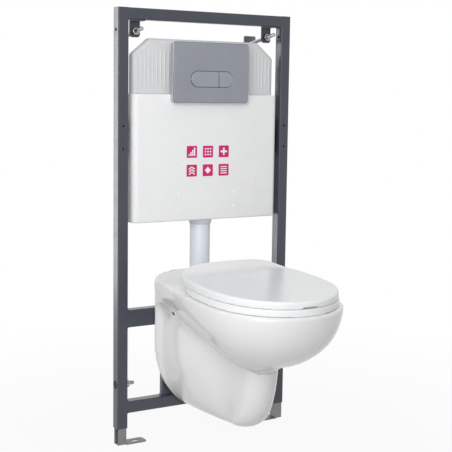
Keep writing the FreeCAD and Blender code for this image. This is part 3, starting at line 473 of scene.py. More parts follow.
def chrome_finish(name, tone, low, high):
    """Polished chrome with faint smears."""
    finish = Finish(name, Metallic=1.0)
    finish.colour(finish.tint(tone, share=0.9, scale=30))
    finish.rough(scale=45, low=low, high=high)
    finish.grain(scale=700, strength=0.03, depth=0.0002)
    return finish.material


def moulded_finish(name, base, low, high, grain):
    """Plain moulded plastic with a fine skin, a slow drift of tone and a little dust."""
    finish = Finish(name, Specular_IOR_Level=0.5)
    tinted = finish.tint(base, share=0.95, scale=10)
    finish.colour(finish.dusted(tinted, PLASTIC_DUST, scale=24, amount=0.12))
    finish.rough(scale=50, low=low, high=high)
    finish.grain(scale=grain, strength=0.06, depth=0.0002)
    return finish.material


def glaze_finish(colours):
    """Fired white glaze: glassy, very slightly wavy, a touch warmer where it runs thin on edges."""
    finish = Finish("white_glaze", Specular_IOR_Level=0.4, Coat_Weight=0.3, Coat_Roughness=0.04)
    thin = [part * share for part, share in zip(colours.glaze[:3], GLAZE_THIN)] + [1]
    base = finish.tint(colours.glaze, share=0.975, scale=7)
    finish.colour(finish.worn(base, thin, width=0.006, scale=25, amount=0.25))
    finish.rough(scale=30, low=0.15, high=0.2)
    finish.grain(scale=38, strength=0.03, depth=0.0012)
    finish.grain(scale=260, strength=0.015, depth=0.0004)
    return finish.material


def seat_finish(colours):
    """Hard white seat plastic with a polished face."""
    finish = Finish("seat_plastic", Specular_IOR_Level=0.5, Coat_Weight=0.42, Coat_Roughness=0.04)
    finish.colour(finish.tint(colours.seat, share=0.98, scale=9))
    finish.rough(scale=60, low=0.07, high=0.12)
    finish.grain(scale=300, strength=0.01, depth=0.0003)
    return finish.material


def ink_finish(name, tone):
    """Screen print on foam, a little uneven where the beads take less ink."""
    finish = Finish(name, Specular_IOR_Level=0.3)
    pale = [min(1, part * 1.12 + 0.02) for part in tone[:3]] + [1]
    speckle = finish.group("fine_grain", Scale=600, Low=0.0, High=0.6)["Level"]
    finish.colour(finish.over(finish.tint(tone, share=0.93, scale=60), pale, speckle))
    finish.rough(scale=200, low=0.5, high=0.65)
    finish.grain(scale=900, strength=0.05, depth=0.0002)
    return finish.material


def finish_of(colours, name):
    """The finish by name, made the first time it is asked for."""
    made = bpy.data.materials.get(name)
    if made:
        return made
    makers = {
        "slate_paint": lambda: paint_finish(colours),
        "dull_zinc": lambda: zinc_finish(
            name, shade(colours.zinc, 0.4), colours.zinc_dull, low=0.36, high=0.54,
        ),
        "bright_zinc": lambda: zinc_finish(name, colours.zinc, colours.zinc_dull, low=0.16, high=0.28),
        "tank_plastic": lambda: tank_finish(colours),
        "bead_foam": lambda: foam_finish(colours),
        "satin_plate": lambda: satin_finish(name, colours.satin, low=0.30, high=0.40),
        "satin_button": lambda: satin_finish(name, shade(colours.satin, 1.1), low=0.26, high=0.36),
        "bright_chrome": lambda: chrome_finish(name, colours.bright, low=0.10, high=0.20),
        "rim_chrome": lambda: chrome_finish(name, colours.rim, low=0.16, high=0.26),
        "white_pipe": lambda: moulded_finish(name, colours.pipe, low=0.28, high=0.4, grain=500),
        "grey_waste": lambda: moulded_finish(name, colours.waste, low=0.35, high=0.5, grain=450),
        # Painted shade: a dark finish for the discs in the holes and the sheet in the buttons' gap.
        "painted_hole_and_gap_shade": lambda: moulded_finish(name, colours.rubber, low=0.5, high=0.7, grain=700),
        # Painted shade: the nut's grey stands in for the shade on it.
        "shaded_grey_nut": lambda: moulded_finish(name, colours.nut, low=0.3, high=0.42, grain=500),
        "pad_rubber": lambda: moulded_finish(name, colours.pad, low=0.35, high=0.5, grain=500),
        "white_glaze": lambda: glaze_finish(colours),
        "seat_plastic": lambda: seat_finish(colours),
        "magenta_ink": lambda: ink_finish(name, colours.ink),
        "white_ink": lambda: ink_finish(name, colours.foam),
    }
    return makers[name]()


WELD_GAP = 0.00001
FLAT_ANGLE = math.radians(0.5)
BEVEL_ANGLE = math.radians(40)
SMOOTH_ANGLE = math.radians(38)


def soft_shading():
    """A modifier group that shades smooth over small angles and keeps real edges sharp."""
    group = bpy.data.node_groups.get("soft_shading")
    if group:
        return group
    group = bpy.data.node_groups.new("soft_shading", "GeometryNodeTree")
    for way in ("INPUT", "OUTPUT"):
        group.interface.new_socket(name="Geometry", in_out=way, socket_type="NodeSocketGeometry")
    start = group.nodes.new("NodeGroupInput").outputs[0]
    end = group.nodes.new("NodeGroupOutput").inputs[0]
    values = {"Geometry": start, "Name": "custom_normal"}
    bare = add(group, "GeometryNodeRemoveAttribute", values).outputs["Geometry"]
    values = {"Geometry": bare, "Shade Smooth": True}
    faces = add(group, "GeometryNodeSetShadeSmooth", values, domain="FACE").outputs["Geometry"]
    angle = add(group, "GeometryNodeInputMeshEdgeAngle").outputs["Unsigned Angle"]
    values = {0: angle, 1: SMOOTH_ANGLE}
    small = add(group, "FunctionNodeCompare", values, data_type="FLOAT", operation="LESS_THAN")
    values = {"Geometry": faces, "Shade Smooth": small.outputs["Result"]}
    edges = add(group, "GeometryNodeSetShadeSmooth", values, domain="EDGE").outputs["Geometry"]
    group.links.new(edges, end)
    return group


def weld(piece):
    """Join the points that the faces of a solid share."""
    piece.modifiers.new("weld", "WELD").merge_threshold = WELD_GAP


def dress(node, material, edge=0.0, steps=2):
    """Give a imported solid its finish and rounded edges, without touching its own mesh."""
    solid = frame["nodes"][node]
    solid.data.materials.clear()
    solid.data.materials.append(material)
    weld(solid)
    if edge:
        flat = solid.modifiers.new("flat_faces", "DECIMATE")
        flat.decimate_type = "DISSOLVE"
        flat.angle_limit = FLAT_ANGLE
        bevel = solid.modifiers.new("edge_round", "BEVEL")
        bevel.width = edge
        bevel.segments = steps
        bevel.limit_method = "ANGLE"
        bevel.angle_limit = BEVEL_ANGLE
    solid.modifiers.new("shading", "NODES").node_group = soft_shading()


def new_piece(name, shape, material, body, sharp=35):
    """A piece from a finished bmesh, riding on a body."""
    bmesh.ops.recalc_face_normals(shape, faces=shape.faces[:])
    mesh = bpy.data.meshes.new(name)
    shape.to_mesh(mesh)
    shape.free()
    mesh.shade_smooth()
    mesh.set_sharp_from_angle(angle=math.radians(sharp))
    mesh.materials.append(material)
    piece = bpy.data.objects.new(name, mesh)
    bpy.context.scene.collection.objects.link(piece)
    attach(piece, body)
    return piece


def cast(node, name, cell, rounds, material, body):
    """A piece cast from a solid: the same form with its edges drawn soft, in place of the solid."""
    mesh = frame["nodes"][node].data.copy()
    piece = bpy.data.objects.new(name, mesh)
    bpy.context.scene.collection.objects.link(piece)
    weld(piece)
    remesh = piece.modifiers.new("cells", "REMESH")
    remesh.mode = "VOXEL"
    remesh.voxel_size = cell
    remesh.use_smooth_shade = True
    soften = piece.modifiers.new("soften", "SMOOTH")
    soften.factor = 0.5
    soften.iterations = rounds
    bpy.context.view_layer.update()
    depsgraph = bpy.context.evaluated_depsgraph_get()
    final = bpy.data.meshes.new_from_object(piece.evaluated_get(depsgraph))
    piece.modifiers.clear()
    piece.data = final
    bpy.data.meshes.remove(mesh)
    final.name = name
    final.materials.clear()
    final.materials.append(material)
    final.shade_smooth()
    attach(piece, body)
    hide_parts(node)
    return piece


def skin(shape, rows, closed=True, caps=True):
    """Faces between rows of points; a closed row runs round, and caps shut the first and last row."""
    loops = [[shape.verts.new(point) for point in row] for row in rows]
    for lower, upper in zip(loops, loops[1:]):
        points = len(lower)
        for step in range(points if closed else points - 1):
            follow = (step + 1) % points
            shape.faces.new((lower[step], lower[follow], upper[follow], upper[step]))
    if caps and closed:
        shape.faces.new(loops[0])
        shape.faces.new(list(reversed(loops[-1])))


def turned(shape, profile, place, turns, caps=False):
    """A skin turned round an axis, from steps of reach and lift; place sets each point on the piece."""
    rows = []
    for reach, lift in profile:
        loop = []
        for step in range(turns):
            turn = 2 * math.pi * step / turns
            loop.append(place(reach * math.cos(turn), reach * math.sin(turn), lift))
        rows.append(loop)
    skin(shape, rows, caps=caps)


def meet(tree, start, way):
    """Where a ray meets a shape, and which way the shape faces there."""
    spot, normal = tree.ray_cast(start, way)[:2]
    if spot is None:
        raise RuntimeError("a ray misses the piece that it is aimed at")
    return spot, normal


BEAD_ROWS = 48
BEAD_STEPS = 6
BEAD_RIPPLES = 14
BEAD_RIPPLE = 0.10
BEAD_TAPER = 9
BEAD_END = 0.3
BEAD_HOLLOW = 0.55
BEAD_ROUND = 0.45
BEAD_INSET = 0.003
SEAM_INSET = 0.0008
SEAM_PROFILE = ((-4.6, 0), (-3.4, 0.06), (3.4, 0.06), (4.6, 0))


def weld_bead(shape, start, end, along_rail, along_post, leg):
    """A painted weld bead in a corner, with the ripples of its run and tapered ends."""
    lines = []
    for row in range(BEAD_ROWS + 1):
        share = row / BEAD_ROWS
        spot = start.lerp(end, share)
        taper = min(1, BEAD_TAPER * share + BEAD_END, BEAD_TAPER * (1 - share) + BEAD_END)
        size = leg * taper * (1 + BEAD_RIPPLE * math.sin(2 * math.pi * BEAD_RIPPLES * share))
        line = []
        for step in range(BEAD_STEPS + 1):
            turn = math.pi / 2 * step / BEAD_STEPS
            rail_part = size * (1 - math.sin(turn)) * BEAD_HOLLOW + size * BEAD_ROUND * math.cos(turn)
            post_part = size * (1 - math.cos(turn)) * BEAD_HOLLOW + size * BEAD_ROUND * math.sin(turn)
            line.append(spot + along_rail * rail_part + along_post * post_part)
        lines.append(line)
    skin(shape, lines, closed=False)


def end_beads(shape, box, across, away, levels, leg):
    """Weld beads from front to back in the corners that one end of a tube makes with its neighbour."""
    low, high = box
    for level, up in levels:
        start = Vector((across, low[1] + BEAD_INSET, level))
        end = Vector((across, high[1] - BEAD_INSET, level))
        weld_bead(shape, start, end, Vector((away, 0, 0)), Vector((0, 0, up)), leg)


def ground_seam(shape, across, depth, out, low, high):
    """A weld ground flush over the joint of a rail and a post."""
    rows = []
    for level in (low + SEAM_INSET, high - SEAM_INSET):
        rows.append([
            Vector((across + place * MM, depth + out * stand * MM, level)) for place, stand in SEAM_PROFILE
        ])
    skin(shape, rows, closed=False)


class TOILETFRAME_OT_tubes(bpy.types.Operator):
    """Paint the frame's tubes, angles and plates, and lay the welds between them"""

    bl_idname = "toilet_frame.tubes"
    bl_label = "Frame tubes"

    def execute(self, context):
        sizes, colours = settings(context)
        paint = finish_of(colours, "slate_paint")
        rails = ("top_rail", "pan_rail", "lower_rail")
        for node in rails:
            dress(node, paint)
        for name in SIDES:
            for part in ("post", "inner_post", "wall_bracket", "cistern_bracket"):
                dress(name + "_" + part, paint)
        beads = bmesh.new()
        for node in rails:
            low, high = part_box(node)
            levels = [(low[2], -1), (high[2], 1)]
            if node == "top_rail":
                levels.pop()
            for across, away in ((low[0], 1), (high[0], -1)):
                end_beads(beads, (low, high), across, away, levels, sizes.bead_leg)
                for depth, out in ((low[1], -1), (high[1], 1)):
                    ground_seam(beads, across, depth, out, low[2], high[2])
        for name in SIDES:
            low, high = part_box(name + "_inner_post")
            levels = ((low[2], 1), (high[2], -1))
            for across, away in ((low[0], -1), (high[0], 1)):
                end_beads(beads, (low, high), across, away, levels, sizes.bead_leg)
        new_piece("weld_beads", beads, paint, "frame", sharp=60)
        return {"FINISHED"}


ROD_TILT = math.radians(10)
ROD_TURNS = 20
ROWS_PER_PITCH = 4
POINT_SLOPE = 0.7


def threaded_rod(name, start, end, radius, pitch, depth, material):
    """A screwed rod between two places, with a real thread and pointed-off ends."""
    shape = bmesh.new()
    run = (end - start).length
    rows = int(run / pitch * ROWS_PER_PITCH)
    swing = Vector((0, 0, 1)).rotation_difference(end - start)
    loops = []
    for row in range(rows + 1):
        along = run * row / rows
        end_gap = min(along, run - along)
        limit = radius - max(0, pitch - end_gap) * POINT_SLOPE
        loop = []
        for step in range(ROD_TURNS):
            turn = 2 * math.pi * step / ROD_TURNS
            phase = (along / pitch - step / ROD_TURNS) % 1
            reach = min(limit, radius - depth * abs(2 * phase - 1))
            loop.append(start + swing @ Vector((reach * math.cos(turn), reach * math.sin(turn), along)))
        loops.append(loop)
    skin(shape, loops)
    return new_piece(name, shape, material, "frame", sharp=50)


class TOILETFRAME_OT_fixings(bpy.types.Operator):
    """Make the screwed wall rods and plate the nuts, wall plates, studs and bolts"""

    bl_idname = "toilet_frame.fixings"
    bl_label = "Wall and pan fixings"

    def execute(self, context):
        sizes, colours = settings(context)
        bright = finish_of(colours, "bright_zinc")
        dull = finish_of(colours, "dull_zinc")
        for name in SIDES:
            low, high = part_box(name + "_wall_rod")
            radius = (high[0] - low[0]) / 2
            middle = (high[0] + low[0]) / 2
            inset, rise = radius * math.sin(ROD_TILT), radius * math.cos(ROD_TILT)
            start = Vector((middle, low[1] + inset, high[2] - rise))
            end = Vector((middle, high[1] - inset, low[2] + rise))
            rod = threaded_rod(
                name + "_screwed_rod", start, end, radius, sizes.thread_pitch, sizes.thread_depth, bright,
            )
            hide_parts(name + "_wall_rod")
            for part in ("pan_stud", "lock_bolt", "rod_nut"):
                dress(name + "_" + part, bright, sizes.sheet_edge)
            dress(name + "_wall_plate", dull, sizes.sheet_edge)
        return {"FINISHED"}


class TOILETFRAME_OT_legs(bpy.types.Operator):
    """Plate the sliding legs"""

    bl_idname = "toilet_frame.legs"
    bl_label = "Legs"

    def execute(self, context):
        sizes, colours = settings(context)
        for name in SIDES:
            dress(name + "_leg", finish_of(colours, "dull_zinc"), sizes.sheet_edge)
        return {"FINISHED"}


THREES = (-1, 0, 1)
LABEL_CORNER = 0.08
SQUARE_LIFT = 0.00008
SIGN_LIFT = 0.0002
INK_THICK = 0.00006
BEDDED = 0.0002
RIB_ROWS = 8
RIB_STEPS = 6
RIB_TAPER = 6


def tank_rib(shape, across, low, high, width, stand, face, out=-1):
    """One upright rib with a rounded back and tapered ends; its face looks forward or, with out 1, back."""
    rows = []
    for row in range(RIB_ROWS + 1):
        share = row / RIB_ROWS
        taper = min(1, RIB_TAPER * share, RIB_TAPER * (1 - share))
        line = []
        for step in range(RIB_STEPS + 1):
            place = -1 + 2 * step / RIB_STEPS
            bulge = stand * taper * (0.5 + 0.5 * math.cos(math.pi * place))
            deep = face + out * (bulge - BEDDED)
            line.append(Vector((across + place * width / 2, deep, low + (high - low) * share)))
        rows.append(line)
    skin(shape, rows, closed=False)


def on_front(centre):
    """Sets points on a face that looks forward, round a centre."""
    return lambda across, high, lift: centre + Vector((across, -lift, high))


def disc(shape, centre, radius, stand, rise=0.0):
    """A low round boss on a front face, domed by its rise."""
    steps = (
        (1.0, 0.0), (0.96, stand * 0.8), (0.86, stand), (0.45, stand + rise * 0.8), (0.05, stand + rise),
    )
    profile = [(radius * share, lift) for share, lift in steps]
    turned(shape, profile, on_front(centre), turns=28, caps=True)


def ring_mark(shape, centre, radius, width, stand):
    """A low raised ring on the jacket's front."""
    steps = ((1, -BEDDED), (0.7, stand), (0.3, stand), (0, -BEDDED))
    profile = [(radius - width * share, lift) for share, lift in steps]
    turned(shape, profile, on_front(centre), turns=36)


def flat_outline(shape, centre, points, lift):
    """A thin printed shape on the jacket's front from its outline."""
    rows = []
    for depth in (0, INK_THICK):
        rows.append([centre + Vector((across, -lift - depth, high)) for across, high in points])
    skin(shape, rows)


def round_square(side, corner):
    """Outline of a square with rounded corners."""
    points = []
    inner = side / 2 - corner
    for quarter in range(4):
        for step in range(6):
            turn = math.pi / 2 * (quarter + step / 5)
            middle_turn = math.pi / 2 * quarter + math.pi / 4
            across = math.copysign(inner, math.cos(middle_turn)) + corner * math.cos(turn)
            high = math.copysign(inner, math.sin(middle_turn)) + corner * math.sin(turn)
            points.append((across, high))
    return points


def bar(across, high, wide, tall, lean=0.0):
    """Outline of a bar, leaning by an angle."""
    points = []
    for corner_across, corner_high in ((-1, -1), (1, -1), (1, 1), (-1, 1)):
        x = corner_across * wide / 2
        z = corner_high * tall / 2
        points.append((
            across + x * math.cos(lean) - z * math.sin(lean),
            high + x * math.sin(lean) + z * math.cos(lean),
        ))
    return points


def circle(across, high, radius, turns):
    """Outline of a circle."""
    points = []
    for step in range(turns):
        turn = 2 * math.pi * step / turns
        points.append((across + radius * math.cos(turn), high + radius * math.sin(turn)))
    return points


def label_motifs(unit):
    """Plain signs for the printed squares, as lists of outlines."""
    stairs = []
    for step in range(4):
        across, high = (step - 1.5) * 0.17 * unit, -0.26 * unit + 0.09 * step * unit
        stairs.append(bar(across, high, 0.12 * unit, (0.14 + 0.18 * step) * unit))
    dots = []
    for column in THREES:
        for row in THREES:
            dots.append(circle(column * 0.24 * unit, row * 0.24 * unit, 0.075 * unit, 16))
    cross = [bar(0, 0, 0.62 * unit, 0.16 * unit)]
    for side in (1, -1):
        cross.append(bar(0, side * 0.195 * unit, 0.16 * unit, 0.23 * unit))
    chevrons = []
    for step in THREES:
        for side in SIGNS:
            chevrons.append(bar(side * 0.13 * unit, step * 0.22 * unit, 0.36 * unit, 0.1 * unit, -side * 0.6))
    diamond = [bar(0, 0, 0.42 * unit, 0.42 * unit, math.pi / 4)]
    lines = [bar(0, (row - 1.5) * 0.18 * unit, 0.62 * unit, 0.075 * unit) for row in range(4)]
    return [stairs, dots, cross, chevrons, diamond, lines]


RIB_COUNT = 9
RIB_INSET = 0.012
RIB_FOOT = 0.010
SHOULDER_LONG = 0.048
SHOULDER_DROP = 0.0395
BACK_RIB_REACH = 3
BACK_RIB_PITCH = 0.048
BACK_RIB_WIDTH = 0.012
BACK_RIB_STAND = 0.0022
BACK_RIB_INSET = 0.012
BACK_RIB_FOOT = 0.022
BACK_RIB_TOP = 0.03

# Places on the jacket's front, in millimetres as at() takes them.
JACKET_FRONT = -4
BOSS_ACROSS = 81
BOSS_HEIGHTS = (624, 588)
RING_ACROSS = 129
RING_HIGH = 657
LABEL_HIGH = 730


class TOILETFRAME_OT_cistern(bpy.types.Operator):
    """Finish the tank and its foam jacket, with ribs, moulding marks and a plain print"""

    bl_idname = "toilet_frame.cistern"
    bl_label = "Cistern"

    def execute(self, context):
        sizes, colours = settings(context)
        dress("cistern_tank", finish_of(colours, "tank_plastic"), sizes.sheet_edge)
        dress("insulation_jacket", finish_of(colours, "bead_foam"), sizes.foam_edge, steps=3)
        self.ribs(sizes, colours)
        self.marks(colours)
        self.label(sizes, colours)
        return {"FINISHED"}

    def ribs(self, sizes, colours):
        """Upright ribs on the tank's front, cut short under its shoulders, and wider ones on its back."""
        low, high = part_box("cistern_tank")
        jacket_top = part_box("insulation_jacket")[1][2]
        half = high[0] - MIDDLE
        shape = bmesh.new()
        for side in SIGNS:
            for step in range(RIB_COUNT):
                reach = half - RIB_INSET - step * sizes.rib_pitch
                drop = max(0, reach - (half - SHOULDER_LONG)) * SHOULDER_DROP / SHOULDER_LONG
                tank_rib(
                    shape, MIDDLE + side * reach, jacket_top + RIB_FOOT, high[2] - RIB_INSET - drop,
                    sizes.rib_width, sizes.rib_stand, low[1],
                )
        levels = (
            (low[2] + BACK_RIB_FOOT, jacket_top - BACK_RIB_INSET),
            (jacket_top + BACK_RIB_INSET, high[2] - BACK_RIB_TOP),
        )
        for step in range(-BACK_RIB_REACH, BACK_RIB_REACH + 1):
            across = MIDDLE + step * BACK_RIB_PITCH
            for bottom, top in levels:
                tank_rib(shape, across, bottom, top, BACK_RIB_WIDTH, BACK_RIB_STAND, high[1], out=1)
        new_piece("tank_ribs", shape, finish_of(colours, "tank_plastic"), "frame", sharp=60)

    def marks(self, colours):
        """Small bosses and rings that the foam mould leaves on the jacket's front."""
        shape = bmesh.new()
        for side in SIGNS:
            for high in BOSS_HEIGHTS:
                centre = at(BOSS_ACROSS * side, JACKET_FRONT, high)
                disc(shape, centre, radius=0.0045, stand=0.0008, rise=0.0004)
            centre = at(RING_ACROSS * side, JACKET_FRONT, RING_HIGH)
            ring_mark(shape, centre, radius=0.012, width=0.0022, stand=0.0005)
            disc(shape, centre, radius=0.0035, stand=0.0003)
        new_piece("jacket_marks", shape, finish_of(colours, "bead_foam"), "frame")

    def label(self, sizes, colours):
        """A plain print: two rows of three squares, each with a simple sign."""
        squares = bmesh.new()
        signs = bmesh.new()
        outline = round_square(sizes.label_square, sizes.label_square * LABEL_CORNER)
        for index, motif in enumerate(label_motifs(sizes.label_square)):
            column = index % 3 - 1
            row = index // 3
            shift = Vector((column * sizes.label_pitch, 0, -row * sizes.label_pitch))
            centre = at(0, JACKET_FRONT, LABEL_HIGH) + shift
            flat_outline(squares, centre, outline, SQUARE_LIFT)
            for sign in motif:
                flat_outline(signs, centre, sign, SIGN_LIFT)
        new_piece("label_squares", squares, finish_of(colours, "magenta_ink"), "frame")
        new_piece("label_signs", signs, finish_of(colours, "white_ink"), "frame")


BUTTON_EDGE = 0.6
GAP_SHADE_SINK = 0.0005
GAP_SHADE_SHARES = (0.02, 0.98)
GAP_SHADE_STEPS = 24


class TOILETFRAME_OT_flush_plate(bpy.types.Operator):
    """Finish the flush plate and its two buttons"""

    bl_idname = "toilet_frame.flush_plate"
    bl_label = "Flush plate"

    def execute(self, context):
        sizes, colours = settings(context)
        dress("flush_plate_rim", finish_of(colours, "rim_chrome"), sizes.plate_edge, steps=3)
        dress("flush_plate_face", finish_of(colours, "satin_plate"), sizes.plate_edge, steps=3)
        for node in ("full_flush_button", "half_flush_button"):
            dress(node, finish_of(colours, "satin_button"), sizes.plate_edge * BUTTON_EDGE, steps=3)
        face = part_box("flush_plate_face")[0][1]
        # A dark sheet in the gap round the buttons: painted shade.
        self.gap_shade(colours, face + GAP_SHADE_SINK)
        # Bright chrome pips at the buttons' ends stand in for glints: painted highlight.
        glint_pips = bmesh.new()
        for node, corner in (("full_flush_button", 0), ("half_flush_button", 1)):
            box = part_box(node)
            spot = Vector((box[corner][0], face, (box[0][2] + box[1][2]) / 2))
            disc(glint_pips, spot, sizes.glint_pip_radius, stand=0.0003, rise=0.0004)
        new_piece("plate_glint_pips", glint_pips, finish_of(colours, "bright_chrome"), "frame")
        return {"FINISHED"}

    def gap_shade(self, colours, depth):
        """A dark sheet in the narrow gap round the buttons and between them: painted shade in the gap."""
        full_low, full_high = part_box("full_flush_button")
        half_low, half_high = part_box("half_flush_button")
        gap = half_low[0] - full_high[0]
        middle = (full_high[2] + full_low[2]) / 2
        shape = bmesh.new()
        rows = []
        for share in GAP_SHADE_SHARES:
            radius = (full_high[2] - full_low[2]) / 2 + share * gap
            ends = (half_high[0] + share * gap - radius, full_low[0] - share * gap + radius)
            loop = []
            for half_turn, across in enumerate(ends):
                for step in range(GAP_SHADE_STEPS + 1):
                    turn = math.pi * (half_turn + step / GAP_SHADE_STEPS) - math.pi / 2
                    place = (across + radius * math.cos(turn), depth, middle + radius * math.sin(turn))
                    loop.append(Vector(place))
            rows.append(loop)
        skin(shape, rows, caps=False)
        rows = []
        for level in (full_low[2], full_high[2]):
            rows.append([Vector((full_high[0] + share * gap, depth, level)) for share in GAP_SHADE_SHARES])
        skin(shape, rows, closed=False)
        new_piece("button_gap_shade", shape, finish_of(colours, "painted_hole_and_gap_shade"), "frame")


PIPE_RING_DROPS = (0.0006, 0.0062, 0.0098)
PIPE_RING_TALL = 0.0016
PIPE_RING_STAND = 0.0005


def pipe_ring(shape, middle, radius):
    """A low moulded ring round the flush pipe."""
    steps = ((0, -BEDDED), (0.25, PIPE_RING_STAND), (0.75, PIPE_RING_STAND), (1, -BEDDED))
    profile = [(radius + lift, drop * PIPE_RING_TALL) for drop, lift in steps]
    turned(shape, profile, lambda across, back, drop: middle + Vector((across, back, -drop)), turns=64)


class TOILETFRAME_OT_pipes(bpy.types.Operator):
    """Finish the flush pipe, its nut and the waste pipe"""

    bl_idname = "toilet_frame.pipes"
    bl_label = "Pipes"

    def execute(self, context):
        sizes, colours = settings(context)
        for node, finish in (
            ("flush_pipe", "white_pipe"), ("flush_pipe_nut", "shaded_grey_nut"), ("waste_pipe", "grey_waste"),
        ):
            dress(node, finish_of(colours, finish), sizes.sheet_edge)
        low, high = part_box("flush_pipe_nut")
        pipe_low, pipe_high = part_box("flush_pipe")
        radius = (pipe_high[0] - pipe_low[0]) / 2
        middle = Vector(((low[0] + high[0]) / 2, (low[1] + high[1]) / 2, low[2]))
        shape = bmesh.new()
        for drop in PIPE_RING_DROPS:
            pipe_ring(shape, middle - Vector((0, 0, drop)), radius)
        new_piece("pipe_rings", shape, finish_of(colours, "white_pipe"), "frame", sharp=60)
        return {"FINISHED"}


# Places and sizes on the pan, in millimetres as at() takes them. The crease is where the bowl's underside
# meets the trap's side: how far ahead of the frame's front, and how high.
CREASE = ((0, 368), (43, 362), (107, 328), (163, 294), (234, 268), (300, 250), (480, 230))
CREASE_SOFT = 34
FACES_UP, STEEP, WING_STEEP, FACES_DOWN = 0.25, 0.3, 0.5, -0.25
KEEL_HALF = 20
BORE_HIGH = 225
BORE_CLEAR = 56
WAIST_DEEP = 15
WAIST_START = 13
WAIST_LONG = 150
WAIST_LEAN = 0.55
WAIST_FADE = (85, 190)
VALLEY_DEEP = 5
VALLEY_BACK = -178
VALLEY_LONG = 26
LIFT_DEEP = 12
LIFT_BACK = -92
LIFT_LONG = 46
LIFT_TALL = 28
LIFT_ALONG = (-220, 0)
LIFT_INNER = 60
HOLLOW_ALONG = (-335, -12)
HOLLOW_LEVELS = (200, 392)
HOLLOW_PULL = 0.00018
WING_ALONG = (-250, -22)
WING_INNER = 70
WING_STRIP = (6, 62)
NOSE_HALF = 84
NOSE_LONG = 82
NOSE_MIDDLE = -215
CHIN_ALONG = (-400, -200)
CHIN_LEVELS = (200, 320)
CHIN_DROP = 18
CHIN_RUN = 64
CHIN_FADE = (215, 265)
FILL_ALONG = (-395, -205)
FILL_HALF = 125
FILL_NEAR = 22
FILL_WIDER = 34
FILL_FADE = (215, 285)
SUMP_BACK = -224
SUMP_HALF = 62
SUMP_LONG = 54
SUMP_TOP = 300
SUMP_AIM = 360
SUMP_WALL = 0.62
MOUTH_SHADE_SHARE = 0.56
MOUTH_SHADE_PROFILE = ((1.0, -1.0), (0.97, 0.3), (0.5, 0.4), (0.02, 0.4))
BUSH_BACK = -86
BUSH_HIGH = 342
BUSH_AIM = 260
BUSH_RING = ((1.0, -0.5), (0.97, 0.10), (0.85, 0.16), (0.72, 0.10), (0.68, -0.5))
BUSH_HOLE_SHADE = ((0.70, -0.5), (0.70, 0.02), (0.35, 0.03), (0.02, 0.03))


def crease_high(back):
    """How high the bowl's underside meets the trap's side, at a place before the frame's front."""
    ahead = min(CREASE[-1][0], max(0, -back))
    for (near, near_high), (far, far_high) in zip(CREASE, CREASE[1:]):
        if ahead <= far:
            return near_high + (far_high - near_high) * (ahead - near) / (far - near)
    return CREASE[-1][1]


def draw_in(shape):
    """Draw the trap's sides in behind the flange and beside its nose, clear of the waste's bore."""
    for vert in shape.verts:
        across, back, high = measure(vert.co)
        below = ease(crease_high(back) - high, 0, CREASE_SOFT)
        in_bore = math.hypot(across, high - BORE_HIGH) < BORE_CLEAR
        if not below or abs(across) < KEEL_HALF or in_bore:
            continue
        along = min(1, max(0, (-back - WAIST_START) / WAIST_LONG))
        waist = WAIST_DEEP * math.sin(math.pi * along ** WAIST_LEAN) * ease(high, *WAIST_FADE)
        valley = VALLEY_DEEP * hump(back, VALLEY_BACK, VALLEY_LONG)
        vert.co.x -= math.copysign((waist + valley) * below * MM, across)


def crease_lift(back):
    """How far the edge under the wings is raised at a place."""
    return LIFT_DEEP * hump(back, LIFT_BACK, LIFT_LONG)


def lift_crease(shape):
    """Raise the edge under the bowl's wings, near the flange."""
    for vert in shape.verts:
        across, back, high = measure(vert.co)
        if within(back, LIFT_ALONG) and abs(across) > LIFT_INNER:
            vert.co.z += crease_lift(back) * hump(high, crease_high(back), LIFT_TALL) * MM


def relax(verts, rounds):
    """Let each of these points settle between its neighbours."""
    around = []
    for vert in sorted(verts, key=lambda vert: vert.index):
        around.append((vert, [edge.other_vert(vert) for edge in vert.link_edges]))
    for step in range(rounds):
        moved = [sum((other.co for other in others), Vector()) / len(others) for vert, others in around]
        for (vert, others), place in zip(around, moved):
            vert.co = vert.co.lerp(place, 0.5)


def fill_crease(shape, rings, rounds):
    """Fill the sharp hollow under the bowl to a soft one."""
    shape.normal_update()
    hollow = set()
    for vert in shape.verts:
        across, back, high = measure(vert.co)
        if not (within(back, HOLLOW_ALONG) and within(high, HOLLOW_LEVELS) and vert.normal.z < STEEP):
            continue
        around = [edge.other_vert(vert).co for edge in vert.link_edges]
        pull = sum(around, Vector()) / len(around) - vert.co
        if pull.dot(vert.normal) > HOLLOW_PULL:
            hollow.add(vert)
    for ring in range(rings):
        hollow |= {edge.other_vert(vert) for vert in hollow for edge in vert.link_edges}
    relax(hollow, rounds)


def smooth_wing(shape, rounds):
    """Draw the wings' undersides smooth, above the edge that was raised."""
    shape.normal_update()
    wing = set()
    for vert in shape.verts:
        across, back, high = measure(vert.co)
        above = high - crease_high(back) - crease_lift(back)
        beside = within(back, WING_ALONG) and abs(across) > WING_INNER
        if beside and within(above, WING_STRIP) and vert.normal.z < WING_STEEP:
            wing.add(vert)
    relax(wing, rounds)


def drop_chin(shape):
    """Let the bowl's underside run down to the trap's nose."""
    shape.normal_update()
    for vert in shape.verts:
        across, back, high = measure(vert.co)
        if vert.normal.z > FACES_DOWN or not (within(back, CHIN_ALONG) and within(high, CHIN_LEVELS)):
            continue
        away = (math.hypot(across / NOSE_HALF, (back - NOSE_MIDDLE) / NOSE_LONG) - 1) * NOSE_HALF
        vert.co.z -= CHIN_DROP * (1 - ease(away, 0, CHIN_RUN)) * ease(-back, *CHIN_FADE) * MM


